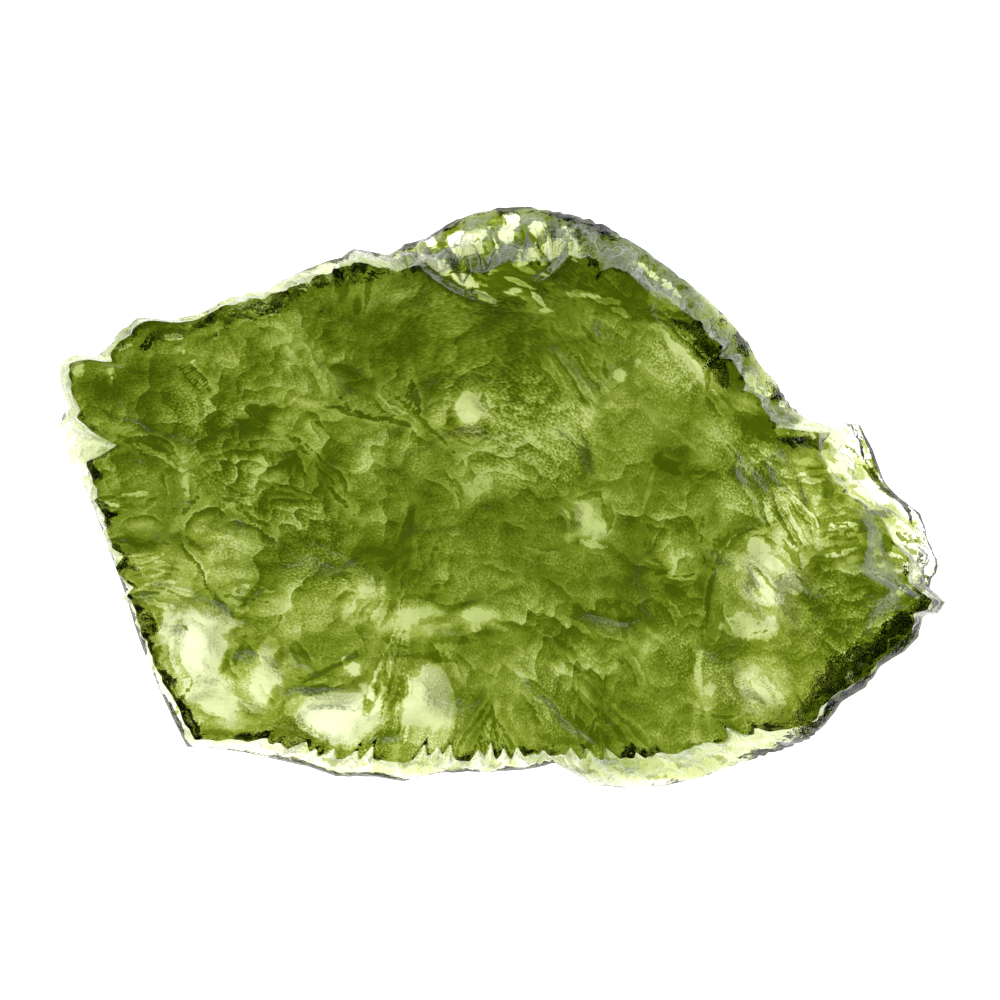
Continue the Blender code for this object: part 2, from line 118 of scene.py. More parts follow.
# Height of the upper face and of the underside at places on the stone, (x, y, z).
UPPER_LEVELS = [
    (-15.1, 3.8, 5.8), (-14.4, -1.8, 5.4), (-12.7, -5.6, 4.6), (-11.3, -8.6, 4.3),
    (-7.6, -9.2, 4.2), (-3.0, -9.2, 4.4), (0.7, -9.2, 4.9), (5.3, -9.2, 5.2), (9.8, -8.2, 4.9),
    (11.9, -7.9, 4.5), (-0.9, 2.2, 5.6), (0.6, -1.2, 6.1), (1.9, 5.7, 7.2), (-3.8, 5.9, 6.9),
    (-9.5, 5.7, 6.2), (-13.2, 5.9, 5.9), (-6.4, 8.5, 6.5), (-7.6, 0.1, 6.2), (-7.6, -5.2, 5.5),
    (-1.9, -5.2, 5.7), (3.8, -5.2, 6.2), (7.3, -3.4, 6.1), (0.7, 8.2, 6.4), (3.8, 8.5, 6.5),
    (-1.9, 8.4, 6.2), (8.3, 4.6, 5.9), (6.8, 0.8, 6.3), (9.8, 3.5, 5.4), (12.4, 0.8, 4.6),
    (13.2, -1.5, 4.5), (14.9, -1.6, 3.6), (13.6, -3.7, 5.0), (15.1, -5.2, 4.3), (15.6, -3.7, 4.0),
    (11.3, -2.2, 4.9), (3.6, 2.2, 6.0),
]
UNDER_LEVELS = [
    (0.0, -0.6, 0.2), (-3.0, -0.3, 0.3), (1.5, 0.2, 0.6), (0.0, -2.6, 0.4), (-7.6, -2.2, 0.6),
    (-0.7, 2.6, 1.0), (-3.6, 2.4, 0.9), (-7.6, 3.8, 0.4), (-13.2, 3.8, 0.3), (-14.0, 0.0, 0.3),
    (-10.5, 0.6, 0.3), (-13.2, -3.3, 1.2), (-11.3, -5.4, 2.0), (-11.0, -7.2, 1.8), (-9.3, -5.6, 1.2),
    (-9.9, -9.0, 0.4), (-6.2, -8.1, 1.9), (-6.1, -5.5, 0.6), (-3.6, -4.9, 0.9), (-2.6, -7.5, 1.6),
    (0.7, -7.5, 0.6), (3.8, -7.5, 0.3), (6.4, -7.0, 0.3), (5.3, -3.0, 0.3), (7.6, -2.6, 0.5),
    (10.2, -3.4, 1.8), (10.3, -6.6, 1.2), (9.0, -9.1, 0.4), (13.0, -4.9, 0.3), (12.9, -2.9, 0.5),
    (13.9, 0.1, 1.5), (12.4, 1.9, 1.5), (15.3, -1.5, 1.5), (9.8, 3.8, 0.8), (6.2, 0.7, 0.3),
    (7.5, 6.5, 0.6), (3.8, 8.4, 0.5), (1.5, 10.1, 2.4), (-1.5, 9.5, 2.4), (0.0, 7.8, 2.0),
    (0.0, 5.9, 0.5), (-4.5, 6.6, 0.2), (-9.5, 6.8, 0.4),
]

UPPER_BLEND = 0.4  # how far each level reaches, in square millimetres
UNDER_BLEND = 2.0
LEVEL_POWER = 1.7  # how fast it gives way to the next

# Broad hollows in each face: x, y, half length, half width, turn in degrees, depth.
UPPER_HOLLOWS = [
    (9.7, -3.2, 2.1, 2.5, 20, 0.6), (-10.6, -0.9, 1.9, 1.3, -20, 0.4), (-8.9, -6.8, 0.9, 1.5, 0, 0.4),
    (-5.9, -8.1, 2.0, 1.1, 8, 0.45), (-12.1, -2.2, 2.1, 0.9, -15, 0.35),
    (-11.3, -5.6, 1.7, 2.3, 20, 0.35), (7.3, 5.3, 0.8, 1.7, 40, 0.6), (-1.5, 8.2, 0.5, 1.7, 62, 0.6),
    (-1.2, 3.1, 1.7, 1.5, -30, 0.5), (3.4, -0.7, 1.4, 1.7, 30, 0.5), (11.3, 1.2, 1.4, 1.1, -30, 0.5),
    (13.0, 1.8, 1.1, 1.3, -30, 0.6), (14.5, 0.8, 0.9, 1.5, -20, 0.5), (13.6, 0.1, 1.5, 1.1, -30, 0.5),
    (-0.8, 9.5, 1.4, 1.1, 0, 0.8), (1.1, 9.9, 1.0, 1.1, 10, 0.7), (2.2, 9.3, 0.5, 1.7, -40, 0.7),
    (5.8, 8.2, 1.5, 0.6, -40, 0.4), (-2.7, -6.0, 1.9, 1.4, 0, 0.45), (-7.6, 3.5, 2.6, 1.9, -20, 0.4),
    (-4.5, 0.8, 2.3, 1.7, 30, 0.5), (2.2, 3.8, 2.9, 1.2, -55, 0.5), (6.0, -2.2, 1.4, 2.3, 10, 0.25),
    (3.8, -6.0, 2.3, 1.7, -20, 0.45), (-1.7, -2.0, 2.0, 1.6, 0, 0.4), (-13.2, 2.3, 2.3, 0.5, -20, 0.35),
]
UNDER_HOLLOWS = [
    (-11.3, -5.6, 2.5, 3.1, 20, 0.25), (-5.9, -8.3, 2.6, 1.6, 10, 0.3), (-10.2, -1.7, 2.5, 1.8, 20, 0.25),
    (-6.1, -3.3, 2.8, 2.0, -40, 0.25), (10.4, -3.3, 2.2, 2.6, 30, 0.35), (11.3, 0.1, 1.7, 2.4, 35, 0.3),
    (9.2, -7.1, 2.5, 1.7, -20, 0.35), (-1.2, 3.6, 2.5, 2.2, -30, 0.25), (3.8, -0.9, 2.2, 2.4, 30, 0.25),
    (4.7, 4.8, 1.7, 1.8, 20, 0.4), (7.2, 5.3, 1.7, 2.8, 40, 0.5), (-2.7, -6.4, 2.9, 2.0, 0, 0.3),
    (1.5, -6.0, 2.3, 2.0, -50, 0.3), (-3.0, -8.1, 2.5, 1.6, 0, 0.3), (-8.7, 3.8, 3.6, 2.3, -20, 0.35),
    (3.2, 2.8, 2.2, 2.6, -30, 0.2),
]

# Small crisp pits in the upper face, in the same form.
PITS = [
    (-11.34, -0.7, 0.79, 0.72, 0, 0.35), (-9.94, -0.21, 0.64, 0.53, 20, 0.25),
    (-9.38, -1.45, 0.98, 0.83, 0, 0.3), (-10.58, -1.64, 0.6, 0.75, 0, 0.2),
    (-13.3, -0.96, 1.02, 0.49, 8, 0.35), (-13.53, -2.21, 1.13, 0.38, -10, 0.25),
    (-10.51, -4.55, 0.53, 0.3, 15, 0.3), (-9.57, -4.13, 0.34, 0.26, 0, 0.25),
    (-9.83, -5.23, 0.34, 0.6, -35, 0.25), (-8.77, -6.13, 0.42, 0.79, -12, 0.3),
    (-9.0, -7.38, 0.64, 0.6, 0, 0.3), (-8.21, -8.06, 0.38, 0.3, 0, 0.2),
    (-9.38, -3.26, 0.6, 0.3, 20, 0.2), (-11.34, -5.79, 1.13, 1.96, -18, 0.35),
    (-5.87, -8.25, 1.81, 0.98, -12, 0.4), (-5.6, -6.17, 0.6, 0.38, 20, 0.4),
    (-6.62, -6.66, 0.3, 0.23, 0, 0.3), (-4.85, -6.28, 0.34, 0.53, 0, 0.3),
    (-4.85, -7.49, 0.6, 0.98, 0, 0.3), (-6.89, -9.0, 0.34, 0.45, 0, 0.3),
    (-1.15, 3.15, 0.83, 0.68, -30, 0.4), (-2.28, 2.62, 0.34, 1.13, 12, 0.3),
    (3.19, -0.7, 0.49, 0.91, -15, 0.4), (2.25, -1.45, 0.75, 0.38, -30, 0.25),
    (4.43, 4.74, 0.34, 0.45, 20, 0.35), (7.53, 4.89, 0.38, 1.28, 38, 0.4),
    (6.47, 5.91, 0.91, 0.38, -20, 0.3), (9.87, -2.66, 0.64, 1.21, 32, 0.4),
    (9.23, -3.42, 0.38, 1.13, 36, 0.35), (10.92, -2.77, 0.6, 0.6, 0, 0.3),
    (9.98, -4.66, 1.28, 0.68, 10, 0.35), (12.13, -1.64, 0.34, 1.36, 33, 0.4),
    (11.49, -1.08, 0.3, 1.21, 36, 0.35), (12.74, -0.51, 0.3, 0.98, 28, 0.35),
    (7.53, 1.94, 0.68, 0.6, -30, 0.3), (8.09, 1.19, 0.45, 0.75, 45, 0.25),
    (9.04, -0.13, 0.38, 0.53, 0, 0.25), (8.47, -7.11, 0.38, 0.75, 35, 0.3),
    (9.23, -6.74, 0.34, 0.83, 35, 0.3), (10.17, -7.49, 0.45, 0.75, 40, 0.3),
    (7.72, -7.49, 0.3, 0.68, 30, 0.25), (-0.77, -4.17, 0.98, 0.53, 0, 0.35),
    (-1.72, -5.23, 1.13, 0.45, -8, 0.3), (-0.02, -5.23, 0.75, 0.45, 20, 0.3),
    (1.49, -5.79, 0.91, 0.34, -52, 0.3), (-2.66, -7.11, 0.91, 1.21, 0, 0.4),
    (-1.72, -8.43, 0.98, 0.53, 0, 0.25), (-3.79, -4.09, 0.38, 1.13, -12, 0.3),
    (-4.74, -3.15, 0.75, 0.53, 20, 0.3), (1.79, -5.23, 0.53, 0.3, 0, 0.25),
    (2.25, -6.43, 0.68, 0.3, -40, 0.25), (4.13, -6.17, 0.53, 0.3, 0, 0.25),
    (5.26, -5.23, 0.34, 0.75, 40, 0.25), (7.15, -5.23, 0.34, 0.91, 25, 0.3),
    (6.02, -3.72, 0.83, 0.38, 0, 0.2), (-6.43, -1.64, 0.98, 0.53, -25, 0.3),
    (-7.57, -0.7, 0.75, 0.45, -20, 0.25), (-8.13, 1.19, 0.91, 0.45, 15, 0.25),
    (-5.87, 0.81, 0.75, 0.6, -30, 0.25), (-3.98, 1.94, 0.6, 0.83, 0, 0.25),
    (-6.43, 2.7, 0.98, 0.45, -35, 0.2), (-9.45, 3.08, 0.91, 0.45, -25, 0.25),
    (-7.94, 5.72, 0.45, 1.13, 20, 0.3), (-6.81, 4.96, 0.34, 1.28, 25, 0.25),
    (-5.87, 6.47, 0.53, 0.91, 15, 0.25), (-4.92, 7.6, 0.75, 0.53, -20, 0.3),
    (-9.83, 5.34, 0.83, 0.53, 20, 0.2), (-10.96, 6.28, 0.26, 0.23, 0, 0.3),
    (-11.79, 5.64, 0.26, 0.23, 0, 0.3), (-11.34, 5.08, 0.3, 0.23, 0, 0.3),
    (-12.85, 6.47, 0.34, 0.15, 10, 0.3), (2.25, 3.83, 0.34, 1.36, 33, 0.25),
    (3.0, 2.89, 0.34, 1.28, 35, 0.25), (3.75, 2.32, 0.3, 1.13, 38, 0.25),
    (1.68, 4.58, 0.3, 0.98, 30, 0.25), (0.74, 3.83, 0.53, 0.83, 10, 0.25),
    (5.26, 3.08, 0.75, 0.53, -30, 0.2), (5.83, 1.57, 0.6, 0.45, 0, 0.2),
    (-1.15, 6.47, 0.38, 1.13, 0, 0.2), (-2.66, 6.09, 0.45, 1.28, -8, 0.2),
    (-0.02, 5.72, 0.34, 1.06, 0, 0.2), (1.11, 5.91, 0.34, 0.91, 10, 0.2),
    (4.13, 7.6, 0.91, 0.34, -15, 0.35), (5.26, 5.91, 0.45, 0.34, -30, 0.3),
    (6.02, 6.85, 0.34, 0.6, 40, 0.3), (7.15, 6.47, 0.38, 0.53, 30, 0.35),
    (8.85, 3.83, 0.34, 0.53, 30, 0.3), (9.23, 2.7, 0.45, 0.34, -30, 0.3),
    (9.98, 2.13, 0.38, 0.53, 0, 0.35), (7.15, 2.7, 0.38, 0.38, 0, 0.2),
]

# Furrows in the upper face: start, end, half width, depth.
FURROWS = [
    (-14.28, 2.32, -11.64, 1.42, 0.26, 0.45), (-12.09, 5.26, -10.51, 3.83, 0.28, 0.45),
    (-11.45, 5.26, -10.58, 4.28, 0.18, 0.3), (-15.23, -0.09, -13.79, -0.02, 0.2, 0.4),
    (-14.06, 0.28, -12.92, 0.36, 0.15, 0.3), (-13.23, -0.51, -12.47, 0.13, 0.12, 0.25),
    (9.42, 0.43, 12.13, -3.34, 0.3, 0.5), (10.09, 0.43, 11.87, -2.21, 0.28, 0.45),
    (11.0, 0.06, 12.36, -1.75, 0.2, 0.4), (9.23, -0.7, 11.3, -4.17, 0.2, 0.35),
    (11.87, -0.96, 14.02, -1.08, 0.15, 0.35), (11.98, -2.09, 13.19, -1.94, 0.15, 0.3),
    (8.85, 1.19, 10.36, -1.08, 0.25, 0.35), (11.3, 2.32, 12.89, 1.11, 0.28, 0.5),
    (12.43, 2.32, 14.02, -0.13, 0.28, 0.5), (13.26, 2.7, 14.4, 0.74, 0.2, 0.45),
    (2.25, 4.58, 4.21, 1.87, 0.16, 0.25), (2.81, 4.96, 4.81, 2.09, 0.16, 0.25),
    (1.68, 3.83, 3.45, 1.49, 0.16, 0.25), (5.26, 6.47, 7.53, 4.21, 0.2, 0.25),
    (-14.74, -1.64, -12.47, -1.45, 0.14, 0.25), (-14.66, -2.13, -12.66, -1.91, 0.14, 0.25),
    (-14.43, -2.58, -12.85, -2.43, 0.12, 0.2), (-14.36, -3.04, -13.23, -2.96, 0.12, 0.2),
    (0.17, -7.11, -0.85, -9.38, 0.22, 0.35), (0.28, -7.11, 0.81, -9.38, 0.22, 0.35),
    (0.74, -6.74, 1.49, -9.38, 0.18, 0.3), (-0.4, -7.11, -1.45, -9.3, 0.18, 0.3),
    (7.38, -7.11, 7.15, -9.38, 0.22, 0.45), (7.53, -7.11, 7.98, -9.38, 0.18, 0.35),
    (8.36, -5.98, 9.26, -7.57, 0.2, 0.35), (9.11, -5.6, 10.25, -7.57, 0.2, 0.35),
    (7.75, -6.74, 8.36, -8.09, 0.18, 0.3), (-1.72, -5.23, 2.25, -8.25, 0.14, 0.2),
    (-1.15, -4.47, 2.62, -7.11, 0.12, 0.2), (-7.57, 1.94, -5.87, -0.7, 0.12, 0.2),
    (-10.4, 4.02, -9.0, 3.08, 0.14, 0.2), (5.26, 9.49, 7.53, 7.6, 0.2, 0.3),
]

FURROW_START = 0.25  # share of a furrow's length over which it starts
FURROW_END = 1.0 / 3.0  # and over which it dies out

# The worn flat spot that the stone lies on.
SPOT = (-1.15, -0.3)  # its middle
SPOT_SIZE = (2.1, 1.55)  # its half sizes
SPOT_PRESS = 1.0  # how deep it is pressed
SPOT_FLAT = 0.8  # how far from its middle it stays flat, in half sizes
SPOT_FADE = 1.3  # over how many half sizes it fades
UNDER_GAP = 0.15  # gap that the rest of the underside keeps above it
PRESS_SOFTNESS = 0.12  # how softly the two meet

# The integer hash that all noise is made from.
SQUARE_PRIMES = (73856093, 19349663, 83492791)
MIXERS = (0x2C1B3C6D, 0x297A2D39)
HASH_MASK = 0xFFFFFFFF

# Seeds of the noises. A face's bowls and swell count on from its own seed.
UPPER_SEED = 100
UNDER_SEED = 300
BOWLS_ON = 10
SWELL_ON = 20
MARK_SEEDS = (61, 63)
PATCH_SEED = 65
STREAK_SEED = 71
DENT_SEED = 73
WALL_BEND_SEED = 76
JAG_SEED = 91

# Etched relief of the faces: three sizes of bowls that meet in ridges.
BOWL_SIZES = (3.2, 1.5, 0.7)
BOWL_HEIGHTS = (1.1, 0.5, 0.18)
BOWL_CRISPNESS = (9.0, 12.0, 20.0)
BOWL_MEAN = 0.18  # mean of the bowls' shape, which is taken off
BOWL_MARGIN = 0.1  # how near the side of its square a bowl's middle may lie
BOWL_STEEPNESS = (0.4, 1.2)  # least steepness and its spread
ETCHING_BENDS = ((0.5, 2.4), (0.15, 0.8))  # waves that bend the bowls
SWELLS = ((1.0, 4.5), (0.5, 2.0))  # slow waves under them
LEFT_DRAW = (-15, 1.35)  # direction in degrees and stretch that they are drawn out by on the left
RIGHT_DRAW = (-52, 1.6)  # and on the right
DRAW_CHANGE = 4.0  # how far from the middle the one has given way to the other
EDGE_CALM = 1.0  # how far from the edge the etching is calmer
EDGE_RELIEF = 0.3  # share of it that is left at the edge
LEAST_THICKNESS = 0.9

# The broken wall.
WALL_RADIUS = 14.0  # turns directions into lengths round the stone
RIM_ABOVE_FOOT = 0.25  # least height of the rim above the foot
RIM_BELOW_TOP = 0.15  # and below the upper edge
WALL_BEND = ((0.6, 1.7),)  # waves that bend the height before the dents are drawn
WALL_DENTS = (  # depth, size, crispness, lean, squeeze
    (0.7, 2.4, 9.0, 0.0, 1.2), (0.45, 1.1, 16.0, 0.4, 1.0), (0.35, 0.5, 16.0, 0.0, 1.0),
)
DENTS_MEAN = 0.15  # mean depth, which is taken off
DENTS_PROUD = 0.1  # how far the dents may stand proud
WALL_STREAKS = ((0.07, 2.6, 0.5), (0.05, 1.1, 0.0))  # depth, size, lean
STREAK_SQUEEZE = 6.0  # how much flatter than wide the streaks are
WALL_EDGE = 0.5  # how far from its edges the wall is straighter

# Soft painted shade and light on the skin, mixed with its own tone: x, y, half length, half width, turn in
# degrees, change in clearness.
PAINTED_SHADES_AND_TONE = [
    (-13.6, 4, 2.45, 1.45, -15, -0.2), (-4.9, 5.9, 2.45, 1.7, 0, -0.25), (-6.6, 0.75, 1.45, 0.9, 0, -0.3),
    (-4.6, -2, 1.15, 0.75, 0, -0.45), (-3.25, -1.85, 1.3, 2.1, 0, -0.2), (0.35, 5.7, 1.9, 2.1, 0, -0.2),
    (6.4, 1.4, 1.3, 0.85, -20, -0.3), (5.65, -3.15, 2.1, 1.9, 0, -0.25), (2.8, -4.85, 1.6, 1.35, 0, -0.2),
    (3.75, -8.3, 2.25, 1.3, 0, -0.25), (8.3, -8.7, 1.5, 0.55, 0, -0.15), (14.15, -4.65, 3, 1.6, 30, -0.3),
    (0, 9.7, 3.95, 2.35, 8, -1.3), (4.15, 9.05, 3.6, 2.1, -32, -0.9), (6.3, 7.9, 2.35, 1, -42, -0.7),
    (8.6, 5.65, 2.05, 0.9, -54, -0.7), (10.35, 3.55, 1.15, 0.7, -40, -0.5), (8.85, 5.15, 1.9, 1, -52, -0.3),
    (10, 2.7, 1.45, 0.6, -15, -0.4), (-0.75, -8.3, 0.75, 1.5, 0, -0.25), (6, 8.35, 2.65, 1, -40, -0.5),
    (-14.75, 4.4, 1, 1.5, 0, -0.25), (-9.85, 3.25, 1.9, 1.7, -45, -0.15), (-1.55, 8, 3.4, 0.55, -30, -0.25),
    (-12.85, 6.65, 3, 0.55, 15, -0.4), (-2.65, 5.55, 1.5, 1.5, 0, -0.15),
    (7.15, 3.85, 1.15, 0.75, 0, -0.05), (9.25, -5.4, 3.4, 0.45, 20, -0.15),
    (-11.6, -5.8, 2.35, 1.3, -65, 0.6), (-10.4, -7.55, 1.45, 1.3, 0, 0.45),
    (-10.75, -4.65, 1.35, 0.85, -30, 0.4), (-8.75, -6.45, 1, 1.3, -60, 0.4), (-6, -8.05, 1.95, 1.2, 0, 0.7),
    (-2.75, -7.6, 1.15, 1.5, 0, 0.45), (-3.4, -4.35, 1.9, 0.9, 0, 0.3), (-0.85, -4.4, 1, 0.55, 0, 0.4),
    (-4.85, -3.7, 1.15, 1.7, 0, 0.25), (-7.65, -4.15, 1.5, 1.2, 0, 0.25),
    (-10.3, -2.3, 1.35, 1.45, 0, 0.25), (-12.4, -2.95, 1.3, 1.15, 0, 0.25),
    (-13.25, 0.75, 1.2, 0.75, 0, 0.2), (-11.65, 0.8, 0.45, 1.05, 0, 0.2), (-0.95, 3.25, 0.9, 1, 0, 0.45),
    (1.3, 2.3, 2.45, 1.35, -10, 0.3), (-0.75, 0.8, 1.8, 1.2, 0, 0.25), (-4.75, 2, 1.45, 1, 0, 0.25),
    (-4.55, 3.65, 1.3, 0.55, -15, 0.15), (3.4, -0.7, 0.9, 1.2, 0, 0.4), (2.7, 2.7, 1.2, 1.05, 0, 0.2),
    (3.4, 4, 1.2, 1.75, -35, 0.2), (6.3, 5.05, 1.9, 1.2, -50, 0.4), (8, 2.3, 1.05, 1, 0, 0.3),
    (8.6, 0.05, 0.85, 0.9, 0, 0.4), (10.85, -0.9, 1.2, 1.75, 30, 0.3), (9.6, -3.05, 1.75, 2.1, 0, 0.4),
    (7.6, -6.8, 0.7, 1.3, 0, 0.3), (9.6, -6.9, 1.45, 1.35, 0, 0.45), (9.85, -8.85, 0.6, 0.55, 0, 0.4),
    (13.95, 0.45, 3, 2.1, -38, -0.35), (13.75, -6.75, 3.6, 1, 42, -0.6), (10.55, 3.1, 1.5, 0.85, -30, -0.4),
    (-7.55, 5.7, 1.05, 2.65, 40, 0.25), (-9.25, 7.6, 1.65, 0.75, 10, 0.2),
    (-5.3, 9.05, 1.15, 0.6, 10, 0.25), (-14.35, 4.95, 0.75, 0.75, 0, 0.15),
    (5.45, -5.25, 1.5, 0.85, 0, 0.15), (-1.15, -10.05, 7.15, 0.6, 2, -0.12), (6, -10.2, 4.9, 0.7, -3, -0.2),
    (-11.15, 3.9, 2.25, 1.65, 0, 0.12), (0, 1.95, 2.25, 1.9, 0, 0.1), (3.75, 6.65, 1.9, 1.15, 0, 0.08),
    (0, -3.35, 1.3, 0.9, 0, 0.15), (1.5, -6.35, 2.25, 1.3, 0, 0.15), (5.25, 2.7, 1.5, 1.15, 0, 0.15),
    (12.8, 0.05, 1.5, 1.15, 0, 0.2),
]
